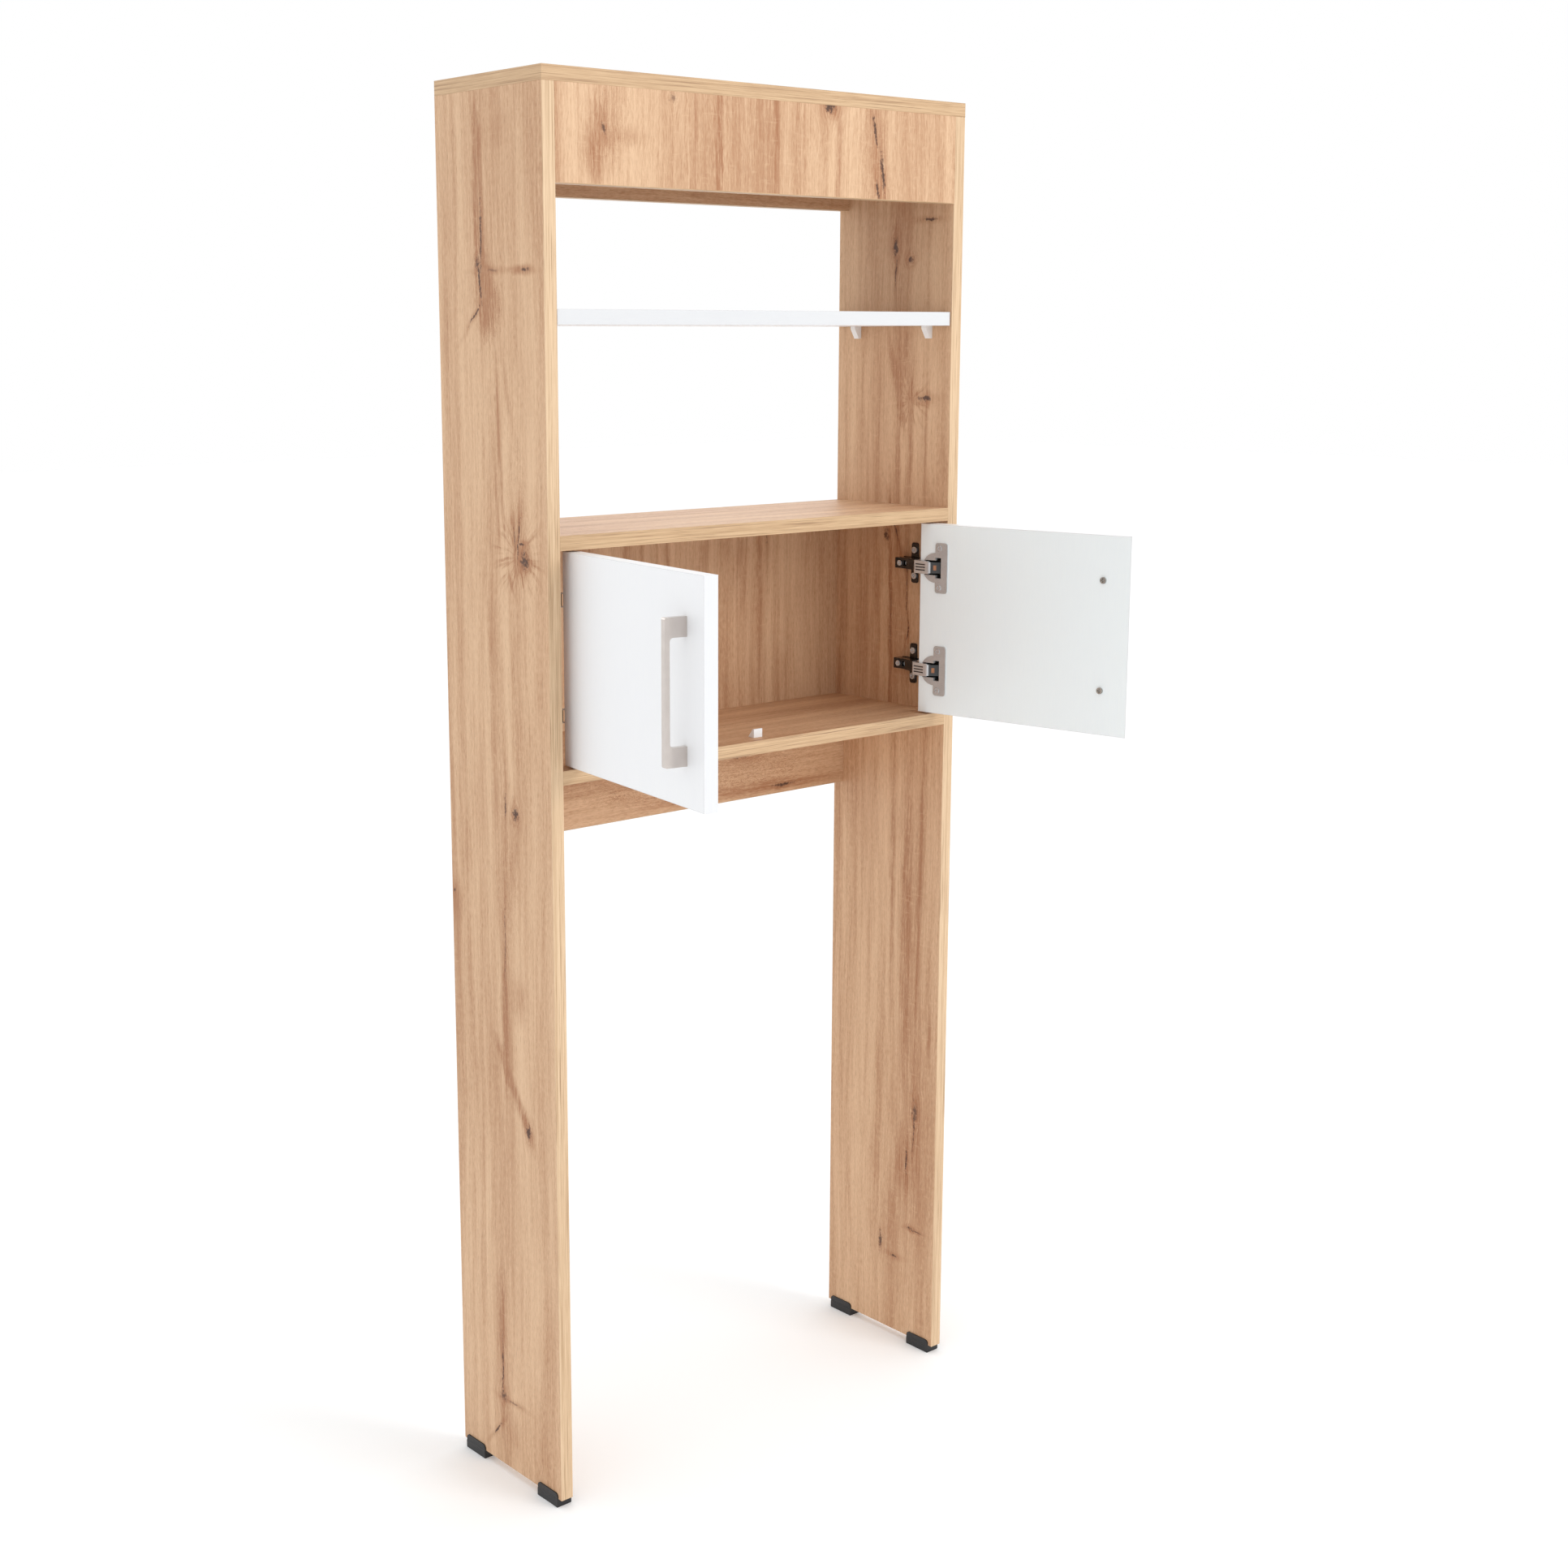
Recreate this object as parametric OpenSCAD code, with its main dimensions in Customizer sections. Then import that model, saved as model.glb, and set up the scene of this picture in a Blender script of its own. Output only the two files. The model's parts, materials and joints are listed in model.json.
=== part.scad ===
// Tall open rack that stands astride a toilet: two side panels, a small cupboard
// with two doors, one loose shelf and a fascia under the top board.
// X runs across the front, Y towards the wall, Z up from the floor.

/* [Carcass] */
// Overall width over the side panels
width = 620; // [580:5:680]
// Depth of the side panels, front edge to back edge
depth = 195; // [185:5:230]
// Height of the top surface above the floor
height = 1585; // [1520:5:1680]
// Thickness of the boards and doors
board = 16; // [16:1:18]
// Thickness of the edge banding
band = 0.8; // [0.4:0.2:1.2]
// Thickness of the cupboard's back panel
back_t = 3; // [2.5:0.5:4]

/* [Levels] */
// Height of the fascia under the top board
fascia_h = 100; // [80:5:120]
// Height of the two back rails
rail_h = 100; // [80:5:120]
// Top surface of the loose shelf above the floor
loose_top = 1343; // [1250:5:1400]
// Top surface of the fixed shelf that roofs the cupboard
fixed_top = 1109; // [1100:1:1130]
// Top surface of the cupboard floor
floor_top = 857; // [840:1:860]

/* [Doors] */
// Gap between a door and the board beside it
door_gap = 2; // [1.5:0.5:3]
// Gap between the two doors when they are shut
meeting_gap = 4; // [3:0.5:5]
// How far the doors stand open
open_angle = 99; // [90:1:105]

/* [Hinges] */
// Radius of the cup bored into the door
cup_r = 17.5; // [17.5:0.5:17.5]
// Distance from the door's hinge edge to the middle of the cup
cup_in = 22; // [21:0.5:23]
// Distance of each hinge above or below the middle of the door
hinge_off = 63; // [55:1:70]

/* [Handles] */
// Distance between the two handle screws
hole_pitch = 128; // [96:32:128]
// How far the handle stands out from the door
handle_out = 25; // [22:1:32]
// Width of the handle's bar
bar_w = 7; // [6:0.5:9]
// Distance from the door's hinge edge to the handle
handle_in = 255; // [240:1:258]

/* [Feet] */
// Height of the foot under the side panel
foot_h = 10; // [8:1:14]
// Length of the foot along the side panel
foot_l = 38; // [30:1:45]

/* [Hidden] */
eps = 1;
slack = 0.05;
// Spare depth at the bottom of a blind hole
spare = 0.5;

half = width / 2;
inner = half - board;
side_top = height - board;
fascia_mid = side_top - fascia_h / 2;
rail_mid = side_top - rail_h / 2;
low_mid = floor_top - board - rail_h / 2;
fixed_mid = fixed_top - board / 2;
floor_mid = floor_top - board / 2;
loose_low = loose_top - board;
loose_play = 1.5;
loose_back = 2;

// Doors, measured from the hinge edge (s), the outer face (t) and the floor
door_w = inner - door_gap - meeting_gap / 2;
door_low = floor_top + door_gap;
door_high = fixed_top - board - door_gap;
door_mid = (door_low + door_high) / 2;

// Turning axis of a door, from the side panel's inner face and the front plane
axis_u = 16;
axis_v = 2.9;
reach = axis_v - sin(open_angle) * (door_gap + door_w - axis_u)
      + cos(open_angle) * (board - axis_v);
front = -(reach + depth + back_t) / 2;

// Cam fittings and dowels
cam_r = 7.5;
cam_l = 12;
cam_in = 24;
cam_mouth_r = 3.9;
cam_mouth = 3;
cam_cross = 6;
cam_cross_sink = 2;
bolt_r = 2.5;
bolt_l = 11;
shank_r = 3.4;
shank_gap = 1.5;
bolt_neck_r = 2;
bolt_head_r = 3.2;
bolt_head = 2;
dowel_r = 4;
dowel_side = 10;
dowel_board = 20;
fit_v = 40;
upright_step = 32;
FLAT = [0, 0, 0];
UPRIGHT = [90, 0, 0];
HANGING = [180, 90, 0];
// Upright boards between the sides: middle behind the front plane, middle height, height
UPRIGHTS = [[board / 2, fascia_mid, fascia_h], [depth - board / 2, rail_mid, rail_h],
            [depth - board / 2, low_mid, rail_h]];
BOLTS = concat(
    [for (z = [fixed_mid, floor_mid]) for (v = [fit_v, depth - fit_v]) [0, v, z, FLAT]],
    [for (p = UPRIGHTS) [0, p[0], p[1], UPRIGHT]],
    [for (v = [fit_v, depth - fit_v]) [-board / 2, v, side_top, HANGING]]);
DOWELS = concat(
    [for (z = [fixed_mid, floor_mid]) [0, depth / 2, z, FLAT]],
    [for (p = UPRIGHTS) for (d = [-upright_step, upright_step]) [0, p[0], p[1] + d, UPRIGHT]],
    [[-board / 2, depth / 2, side_top, HANGING]]);

// Nails of the back panel, as x and z
nail_r = 0.8;
nail_head = 2;
nail_cap = 0.5;
nail_l = 15;
side_nail_z = [905, 975, 1045];
NAILS = concat(
    [for (x = [-200, 0, 200]) for (z = [floor_mid, fixed_mid]) [x, z]],
    [for (s = [-1, 1]) for (z = side_nail_z) [s * (half - board / 2), z]]);
back_margin = 4;

// Loose shelf and its pins
pin_peg_r = 2.5;
pin_peg_l = 9;
pin_peg_drop = 4.5;
pin_w = 8;
pin_out = 11;
pin_h = 15;
pin_nose = 3;
PIN_V = [36, 159];

// Door stop
stop_w = 13;
stop_v = board + 0.4;
stop_h = 10;
stop_l = 9.6;
stop_lip = 1;
stop_wall = 2.5;
stop_peg_v = 3.5;
stop_peg_r = 2.5;
stop_peg_l = 8;

// Feet
foot_wall = 1.8;
foot_lip = 7;
foot_lip_r = 4.5;
foot_step = 0.4;
foot_bevel = 1.2;
foot_seat = 5;
foot_play = 0.3;
foot_front = 6;
foot_back = 6;
foot_screw_r = 1.8;
foot_head_r = 4;
foot_head_h = 1.5;
foot_screw_l = 18;
FEET_V = [foot_front, depth - foot_back - foot_l];

// Hinge, in the side panel's frame: u from its inner face, v behind the front plane
screw_pitch = 48;
screw_back = 6;
cup_depth = 11.4;
cup_wall = 0.9;
rim_h = 0.8;
flange_t = 1.4;
flange_s = 22.5;
flange_w = 17.5;
flange_h = 61;
pocket_z = 9;
wide_z = 12.5;
plate_t = 2;
plate_v = 53;
plate_pitch = 32;
plate_v0 = 40;
plate_v1 = 72;
plate_z = 7;
wing_w = 11;
wing_h = 50;
wing_r = 3;
rail_v0 = 42;
rail_v1 = 71;
rail_z = 5;
rail_top = 10;
plate_screw_r = 2.4;
plate_screw_l = 13;
plate_head = [4, 1.6];
arm_top = 15;
arm_z = 6.5;
arm_wall = 1.2;
arm_pin = [16, 27];
arm_pin_r = 1.5;
arm_eye_r = 3.9;
arm_window = 3.2;
arm_screw_r = 2;
arm_screw_play = 0.4;
fix_head = [3.4, 1.3];
fix_l = 12;
adjust_head = [2.6, 1.8];
adjust_l = 7;
link_z = 7.8;
link_wall = 1;
link_eye_r = 3.6;
link_pin = [19.16, -9.75];
link_pin_play = 0.35;
groove_w = 1.4;
groove_pitch = 3.4;
cup_pin_s = 26;
cup_pin_t = 8;
cup_pin_r = 1.25;
cup_pin_z = 14;
fix_v = 66;
adjust_v = 57;
cup_screw_r = 1.7;
cup_screw_l = 12;
cup_screw_head = [3.4, 0.9];
rim_w = 0.6;
flange_r = 3.5;
spring_z = 4.5;
HINGE_Z = [door_mid - hinge_off, door_mid + hinge_off];
LEFT = -1;
RIGHT = 1;
LOWER = HINGE_Z[0];
UPPER = HINGE_Z[1];

// Handle
leg_h = 20;
bar_t = 5.5;
handle_r = 2;
handle_fillet = 4;
handle_screw_r = 2;
handle_screw_in = 9;
handle_head = [3.8, 1.8];

oak = [0.80, 0.65, 0.51];
oak_edge = [0.85, 0.71, 0.53];
white = [0.95, 0.95, 0.95];
nickel = [0.72, 0.70, 0.68];
dark_nickel = [0.30, 0.29, 0.28];
satin = [0.80, 0.77, 0.74];
black = [0.10, 0.10, 0.11];

// ---------- frames and small shapes ----------

// A box from its lowest corner to its highest
module block(lo, hi) {
    translate(lo) cube(hi - lo);
}

// Children drawn in one side panel's frame: u (x) from its inner face, v (y) behind the front
module on_side(side) {
    if (side == LEFT) translate([-inner, front, 0]) children();
    else mirror([1, 0, 0]) translate([-inner, front, 0]) children();
}

module both_sides() {
    on_side(LEFT) children();
    on_side(RIGHT) children();
}

// Children drawn on a shut door, then swung open about its axis
module on_door(side) {
    on_side(side)
        translate([axis_u, axis_v, 0]) rotate([0, 0, -open_angle]) translate([-axis_u, -axis_v, 0])
        translate([door_gap, 0, 0]) children();
}

// Rod along +X
module rod_x(r, x0, x1) {
    translate([x0, 0, 0]) rotate([0, 90, 0]) cylinder(r = r, h = x1 - x0, $fn = 48);
}

// Rod along +Y
module rod_y(r, y0, y1) {
    translate([0, y0, 0]) rotate([-90, 0, 0]) cylinder(r = r, h = y1 - y0, $fn = 48);
}

// Rod along Z, even about zero
module rod_z(r, reach_z) {
    translate([0, 0, -reach_z]) cylinder(r = r, h = 2 * reach_z, $fn = 48);
}

// Rectangle from the origin with all four corners rounded
module round_rect(w, h, r) {
    translate([r, 0]) square([w - 2 * r, h]);
    translate([0, r]) square([w, h - 2 * r]);
    for (x = [r, w - r]) for (y = [r, h - r]) translate([x, y]) circle(r = r, $fn = 32);
}

// Cross section of a strip of banding: its outer face is +Y and has soft corners
module band_profile() {
    r = band / 2;
    translate([-board / 2, 0]) square([board, band - r]);
    translate([r - board / 2, 0]) square([board - 2 * r, band]);
    for (x = [r - board / 2, board / 2 - r]) translate([x, band - r]) circle(r = r, $fn = 24);
}

// A strip of banding along +X that faces -Y, from its middle line on the board's edge
module band_x(x0, x1) {
    translate([x0, 0, 0]) rotate([90, 0, 90]) linear_extrude(x1 - x0)
        rotate(90) band_profile();
}

// A strip of banding along +Z that faces -Y
module band_z(z0, z1) {
    translate([0, 0, z0]) linear_extrude(z1 - z0) rotate(180) band_profile();
}

// Crosshead recess that opens towards +X
module cross_recess(size, sink) {
    for (a = [0, 90]) rotate([a, 0, 0])
        translate([-sink, -size / 2, -size * 0.14]) cube([sink + eps, size, size * 0.28]);
}

// Screw along X: a low head above x = 0 and its shank below
module screw_x(head_r, head_h, shank, l) {
    difference() {
        union() {
            rod_x(head_r, 0, head_h);
            rod_x(shank, -l, slack);
        }
        translate([head_h, 0, 0]) cross_recess(head_r * 1.25, head_h * 0.8);
    }
}

// ---------- holes shared by the boards ----------

module at_each(list) {
    for (a = list) translate([a[0], a[1], a[2]]) rotate(a[3]) children();
}

// Holes of one side's cam fittings and dowels
module fitting_holes() {
    at_each(BOLTS) {
        rod_x(bolt_r + slack, -bolt_l - spare, slack);
        rod_x(shank_r + 4 * slack, 0, cam_in);
        translate([cam_in, 0, -board / 2 - eps])
            cylinder(r = cam_r + slack, h = cam_l + spare + eps, $fn = 48);
    }
    at_each(DOWELS) rod_x(dowel_r + slack, -dowel_side - spare, dowel_board + spare);
}

module nail_holes() {
    for (n = NAILS) translate([n[0], front, n[1]]) {
        rod_y(nail_r + slack, depth - nail_l - spare, depth + back_t + eps);
        rod_y(nail_head + slack, depth + back_t - nail_cap, depth + back_t + eps);
    }
}

// A board of the carcass with every hole that meets it
module drilled(colour) {
    color(colour) difference() {
        children();
        both_sides() fitting_holes();
        nail_holes();
    }
}

// ---------- carcass ----------

module side_panel(side) {
    color(oak) difference() {
        on_side(side) block([-board, band, foot_h], [0, depth, side_top]);
        on_side(side) {
            fitting_holes();
            for (v = PIN_V) translate([0, v, loose_low - pin_peg_drop])
                rod_x(pin_peg_r + slack, -pin_peg_l - spare, eps);
            for (z = HINGE_Z) for (d = [-1, 1]) translate([0, plate_v, z + d * plate_pitch / 2])
                rod_x(plate_screw_r + slack, plate_t - plate_screw_l - spare, eps);
            for (v = FEET_V) translate([-board / 2, v + foot_l / 2, foot_h - eps])
                cylinder(r = foot_screw_r + slack, h = foot_screw_l, $fn = 32);
        }
        nail_holes();
    }
}
module side_panel_left() { side_panel(LEFT); }
module side_panel_right() { side_panel(RIGHT); }

module top_panel() {
    drilled(oak) block([band - half, front + band, side_top], [half - band, front + depth, height]);
}

module fascia_board() {
    drilled(oak) block([-inner, front, side_top - fascia_h + band], [inner, front + board, side_top]);
}

module upper_back_rail() {
    drilled(oak) block([-inner, front + depth - board, side_top - rail_h + band],
                       [inner, front + depth, side_top]);
}

module lower_back_rail() {
    drilled(oak) block([-inner, front + depth - board, low_mid - rail_h / 2 + band],
                       [inner, front + depth, low_mid + rail_h / 2]);
}

module fixed_shelf() {
    drilled(oak) block([-inner, front + band, fixed_top - board], [inner, front + depth, fixed_top]);
}

module cabinet_floor() {
    color(oak) difference() {
        drilled(oak) block([-inner, front + band, floor_top - board], [inner, front + depth, floor_top]);
        translate([0, front + stop_v + stop_peg_v, floor_top - stop_peg_l - spare])
            cylinder(r = stop_peg_r + slack, h = stop_peg_l + spare + eps, $fn = 32);
    }
}

module adjustable_shelf() {
    color(white)
        block([loose_play - inner, front + loose_back + band, loose_low],
              [inner - loose_play, front + depth - loose_back - band, loose_top]);
}

module back_panel() {
    color(oak) difference() {
        block([back_margin - half, front + depth, floor_top - board + 1],
              [half - back_margin, front + depth + back_t, fixed_top - 1]);
        nail_holes();
    }
}

// ---------- banding ----------

module side_edge_bands() {
    color(oak_edge) both_sides()
        translate([-board / 2, band, 0]) band_z(foot_h, side_top);
}

module top_edge_bands() {
    color(oak_edge) {
        translate([0, front + band, height - board / 2]) band_x(-half, half);
        for (side = [LEFT, RIGHT]) translate([side * (half - band), front + band, height - board / 2])
            rotate([0, 0, side * 90]) band_x(side > 0 ? 0 : band - depth, side > 0 ? depth - band : 0);
    }
}

// Strips on the front of the fixed shelf and cupboard floor, and under the upright boards
module board_edge_bands() {
    color(oak_edge) {
        for (z = [fixed_mid, floor_mid]) translate([0, front + band, z]) band_x(-inner, inner);
        for (p = UPRIGHTS) translate([0, front + p[0], p[1] - p[2] / 2 + band])
            rotate([90, 0, 0]) band_x(-inner, inner);
    }
}

module shelf_edge_bands() {
    color(white) {
        translate([0, front + loose_back + band, loose_top - board / 2])
            band_x(loose_play - inner, inner - loose_play);
        translate([0, front + depth - loose_back - band, loose_top - board / 2])
            rotate([180, 0, 0]) band_x(loose_play - inner, inner - loose_play);
    }
}

// ---------- feet ----------

// Clip foot that hugs the bottom edge of a side panel
module foot(side, v) {
    wide = board / 2 + foot_wall;
    skirt = foot_h - 0.6;
    lip = foot_h - 3;
    color(black) on_side(side) translate([-board / 2, v, 0]) difference() {
        union() {
            translate([0, foot_l, 0]) rotate([90, 0, 0]) linear_extrude(foot_l) polygon([
                [-wide - foot_step, foot_bevel], [-wide, 0], [wide, 0], [wide + foot_step, foot_bevel],
                [wide + foot_step, skirt], [-wide - foot_step, skirt]]);
            for (s = [-1, 1]) translate([s * (wide - foot_wall / 2) - foot_wall / 2, 0, 0])
                rotate([90, 0, 90]) linear_extrude(foot_wall) {
                    square([foot_l, foot_h + foot_lip / 3]);
                    translate([0, lip]) round_rect(foot_l, foot_h - lip + foot_lip, foot_lip_r);
                }
            block([-wide, 0, lip], [wide, foot_l, foot_h]);
        }
        translate([0, foot_l / 2, -eps])
            cylinder(r = foot_screw_r + foot_play, h = foot_h + 2 * eps, $fn = 32);
        translate([0, foot_l / 2, -eps]) cylinder(r = foot_head_r + foot_play, h = foot_seat, $fn = 32);
    }
}
module foot_front_left() { foot(LEFT, FEET_V[0]); }
module foot_front_right() { foot(RIGHT, FEET_V[0]); }
module foot_rear_left() { foot(LEFT, FEET_V[1]); }
module foot_rear_right() { foot(RIGHT, FEET_V[1]); }

module foot_screws() {
    color(nickel) both_sides() for (v = FEET_V)
        translate([-board / 2, v + foot_l / 2, foot_seat - eps])
        rotate([0, 90, 0]) screw_x(foot_head_r, foot_head_h, foot_screw_r, foot_screw_l);
}

// ---------- loose shelf pins and door stop ----------

module shelf_pins() {
    color(white) both_sides() for (v = PIN_V) translate([0, v, loose_low]) {
        translate([0, 0, -pin_peg_drop]) rod_x(pin_peg_r, -pin_peg_l, eps);
        translate([0, pin_w / 2, 0]) rotate([90, 0, 0]) linear_extrude(pin_w)
            polygon([[0, 0], [pin_out, 0], [pin_out, -pin_nose], [pin_nose + 1, -pin_h], [0, -pin_h]]);
    }
}

module door_stop() {
    color(white) translate([0, front + stop_v, floor_top]) {
        translate([-stop_w / 2, 0, 0]) rotate([90, 0, 90]) linear_extrude(stop_w)
            polygon([[0, 0], [stop_l, 0], [stop_l, stop_lip], [stop_wall, stop_h], [0, stop_h]]);
        translate([0, stop_peg_v, -stop_peg_l]) cylinder(r = stop_peg_r, h = stop_peg_l + eps, $fn = 32);
    }
}

// ---------- hidden fittings ----------

module cam_locks() {
    color(nickel) both_sides() at_each(BOLTS) difference() {
        translate([cam_in, 0, -board / 2]) cylinder(r = cam_r, h = cam_l, $fn = 48);
        rod_x(cam_mouth_r, cam_in - cam_r - eps, cam_in + cam_mouth);
        translate([cam_in, 0, -board / 2]) rotate([0, 90, 0]) cross_recess(cam_cross, cam_cross_sink);
    }
}

module cam_bolts() {
    color(nickel) both_sides() at_each(BOLTS) {
        rod_x(bolt_r, -bolt_l, slack);
        rod_x(shank_r, 0, cam_in - cam_r - shank_gap);
        rod_x(bolt_neck_r, cam_in - cam_r - shank_gap - slack, cam_in - bolt_head);
        rod_x(bolt_head_r, cam_in - bolt_head - slack, cam_in + bolt_head);
    }
}

module dowels() {
    color([0.87, 0.76, 0.58]) both_sides() at_each(DOWELS) rod_x(dowel_r, -dowel_side, dowel_board);
}

module back_panel_nails() {
    color(nickel) for (n = NAILS) translate([n[0], front, n[1]]) {
        rod_y(nail_r, depth - nail_l, depth + back_t);
        rod_y(nail_head, depth + back_t - nail_cap, depth + back_t);
    }
}

// ---------- hinges: parts that stay on the side panel ----------

// Cruciform plate with a raised rail that the arm slides on
module hinge_plate(side, z) {
    color(dark_nickel) on_side(side) translate([0, 0, z]) difference() {
        union() {
            translate([0, plate_v - wing_w / 2, -wing_h / 2]) rotate([90, 0, 90])
                linear_extrude(plate_t) round_rect(wing_w, wing_h, wing_r);
            block([0, plate_v0, -plate_z], [plate_t, plate_v1, plate_z]);
            block([0, rail_v0, -rail_z], [rail_top, rail_v1, rail_z]);
        }
        for (d = [-1, 1]) translate([0, plate_v, d * plate_pitch / 2])
            rod_x(plate_screw_r + 2 * slack, -eps, plate_t + eps);
        for (v = [fix_v, adjust_v]) translate([0, v, 0])
            rod_x(arm_screw_r + slack, plate_t + spare, rail_top + eps);
    }
}
module hinge_plate_left_upper() { hinge_plate(LEFT, UPPER); }
module hinge_plate_left_lower() { hinge_plate(LEFT, LOWER); }
module hinge_plate_right_upper() { hinge_plate(RIGHT, UPPER); }
module hinge_plate_right_lower() { hinge_plate(RIGHT, LOWER); }

// Cranked channel over the rail, with two ears for the link's pin
module hinge_arm(side, z) {
    color(dark_nickel) on_side(side) translate([0, 0, z]) difference() {
        translate([0, 0, -arm_z]) linear_extrude(2 * arm_z) {
            polygon([[4.5, 74], [arm_top, 74], [arm_top, 56], [21.3, 34.5], [21.3, 30.6], [19.9, 27],
                     [12.1, 27], [9, 40], [4.5, 46]]);
            translate(arm_pin) circle(r = arm_eye_r, $fn = 48);
        }
        translate([0, 0, arm_wall - arm_z]) linear_extrude(2 * (arm_z - arm_wall))
            polygon([[-1, 80], [13.5, 80], [13.5, 55.8], [19.8, 34.3], [19.8, 30], [19, 20], [-1, 20]]);
        translate(arm_pin) rod_z(arm_pin_r + slack, arm_z + eps);
        translate([0, fix_v, 0]) rod_x(arm_screw_r + arm_screw_play, rail_top + eps, arm_top + eps);
        block([rail_top + eps, adjust_v - arm_window, -arm_window],
              [arm_top + eps, adjust_v + arm_window, arm_window]);
    }
}
module hinge_arm_left_upper() { hinge_arm(LEFT, UPPER); }
module hinge_arm_left_lower() { hinge_arm(LEFT, LOWER); }
module hinge_arm_right_upper() { hinge_arm(RIGHT, UPPER); }
module hinge_arm_right_lower() { hinge_arm(RIGHT, LOWER); }

module hinge_plate_screws() {
    color(nickel) both_sides() for (z = HINGE_Z) for (d = [-1, 1])
        translate([plate_t, plate_v, z + d * plate_pitch / 2])
        screw_x(plate_head[0], plate_head[1], plate_screw_r, plate_screw_l);
}

// Screw that clamps the arm to the rail, and the adjusting screw in its window
module hinge_arm_screws() {
    color(nickel) both_sides() for (z = HINGE_Z) {
        translate([arm_top, fix_v, z]) screw_x(fix_head[0], fix_head[1], arm_screw_r, fix_l);
        translate([rail_top + 4 * slack, adjust_v, z])
            screw_x(adjust_head[0], adjust_head[1], arm_screw_r, adjust_l);
    }
}

module hinge_arm_pins() {
    color(nickel) both_sides() for (z = HINGE_Z)
        translate([arm_pin[0], arm_pin[1], z]) rod_z(arm_pin_r, link_z + 0.4);
}

// ---------- hinges: links between the arm and the cup ----------

// Gooseneck link, drawn with the door open, that passes round the door's edge into the cup
module hinge_link(side, z) {
    cheek = link_z - link_wall;
    color(nickel) on_side(side) translate([0, 0, z]) difference() {
        union() {
            translate([0, 0, -link_z]) linear_extrude(2 * link_z) {
                polygon([[16, 30.6], [28.5, 27.2], [31.6, 25.6], [33.6, 22.6], [33.6, 4], [32.6, 0.4],
                         [30.4, 0.4], [31.9, 5], [31.9, 19.6], [30.6, 21.6], [16, 23.4]]);
                translate(arm_pin) circle(r = link_eye_r, $fn = 48);
            }
            translate([0, 0, -cheek]) linear_extrude(2 * cheek)
                polygon([[31.9, 6], [33.6, 4], [32, -1.6], [28.6, -7], [23.4, -12], [20.4, -12.6],
                         [20.2, -8.6], [26, -3.6], [29.4, 1.6], [30.6, 6]]);
        }
        // room between the cheeks for the arm's nose
        translate([0, 0, -cheek]) linear_extrude(2 * cheek)
            polygon([[8, 36], [29.9, 36], [29.9, 26], [30.9, 24.4], [31.9, 22.2], [31.9, 15], [8, 15]]);
        translate(arm_pin) rod_z(arm_pin_r + slack, link_z + eps);
        translate(link_pin) rod_z(cup_pin_r + link_pin_play, link_z + eps);
        // three pressed grooves along the face
        for (d = [-groove_pitch, 0, groove_pitch])
            block([33, 5, d - groove_w / 2], [34, 21, d + groove_w / 2]);
    }
}
module hinge_link_left_upper() { hinge_link(LEFT, UPPER); }
module hinge_link_left_lower() { hinge_link(LEFT, LOWER); }
module hinge_link_right_upper() { hinge_link(RIGHT, UPPER); }
module hinge_link_right_lower() { hinge_link(RIGHT, LOWER); }

// ---------- doors ----------

module door_panel(side) {
    color(white) difference() {
        on_door(side) block([band, 0, door_low + band], [door_w - band, board, door_high - band]);
        on_door(side) {
            for (z = HINGE_Z) {
                translate([cup_in, 0, z]) rod_y(cup_r + slack, board - cup_depth - 0.1, board + eps);
                for (d = [-1, 1]) translate([cup_in + screw_back, 0, z + d * screw_pitch / 2])
                    rod_y(cup_screw_r + slack, board + flange_t - cup_screw_l - spare, board + eps);
            }
            for (d = [-1, 1]) translate([handle_in, 0, door_mid + d * hole_pitch / 2])
                rod_y(handle_screw_r + 0.25, -eps, board + eps);
        }
    }
}
module door_panel_left() { door_panel(LEFT); }
module door_panel_right() { door_panel(RIGHT); }

// Four strips of banding round a door
module door_bands(side) {
    color(white) on_door(side) translate([0, board / 2, 0]) {
        translate([0, 0, door_low + band]) rotate([90, 0, 0]) band_x(0, door_w);
        translate([0, 0, door_high - band]) rotate([-90, 0, 0]) band_x(0, door_w);
        translate([band, 0, 0]) rotate([0, 0, -90]) band_z(door_low + band, door_high - band);
        translate([door_w - band, 0, 0]) rotate([0, 0, 90]) band_z(door_low + band, door_high - band);
    }
}
module door_edge_bands_left() { door_bands(LEFT); }
module door_edge_bands_right() { door_bands(RIGHT); }

// Flat bow handle on two legs
module handle(side) {
    tall = hole_pitch + leg_h;
    gap_h = hole_pitch - leg_h;
    color(satin) on_door(side) translate([handle_in, 0, door_mid]) difference() {
        translate([-bar_w / 2, 0, 0]) rotate([90, 0, 90]) linear_extrude(bar_w) difference() {
            translate([-handle_out, -tall / 2]) {
                round_rect(handle_out, tall, handle_r);
                translate([handle_out - handle_r, 0]) square([handle_r, tall]);
            }
            translate([bar_t - handle_out, -gap_h / 2])
                round_rect(handle_out, gap_h, handle_fillet);
            translate([bar_t - handle_out + handle_fillet, -gap_h / 2]) square([handle_out, gap_h]);
        }
        for (d = [-1, 1]) translate([0, 0, d * hole_pitch / 2])
            rod_y(handle_screw_r + slack, -handle_screw_in - 1, eps);
    }
}
module handle_left() { handle(LEFT); }
module handle_right() { handle(RIGHT); }

module handle_screws(side) {
    color(nickel) on_door(side) for (d = [-1, 1])
        translate([handle_in, board, door_mid + d * hole_pitch / 2]) rotate([0, 0, 90])
        screw_x(handle_head[0], handle_head[1], handle_screw_r, board + handle_screw_in);
}
module handle_screws_left() { handle_screws(LEFT); }
module handle_screws_right() { handle_screws(RIGHT); }

// ---------- hinges: parts that ride on the door ----------

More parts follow.
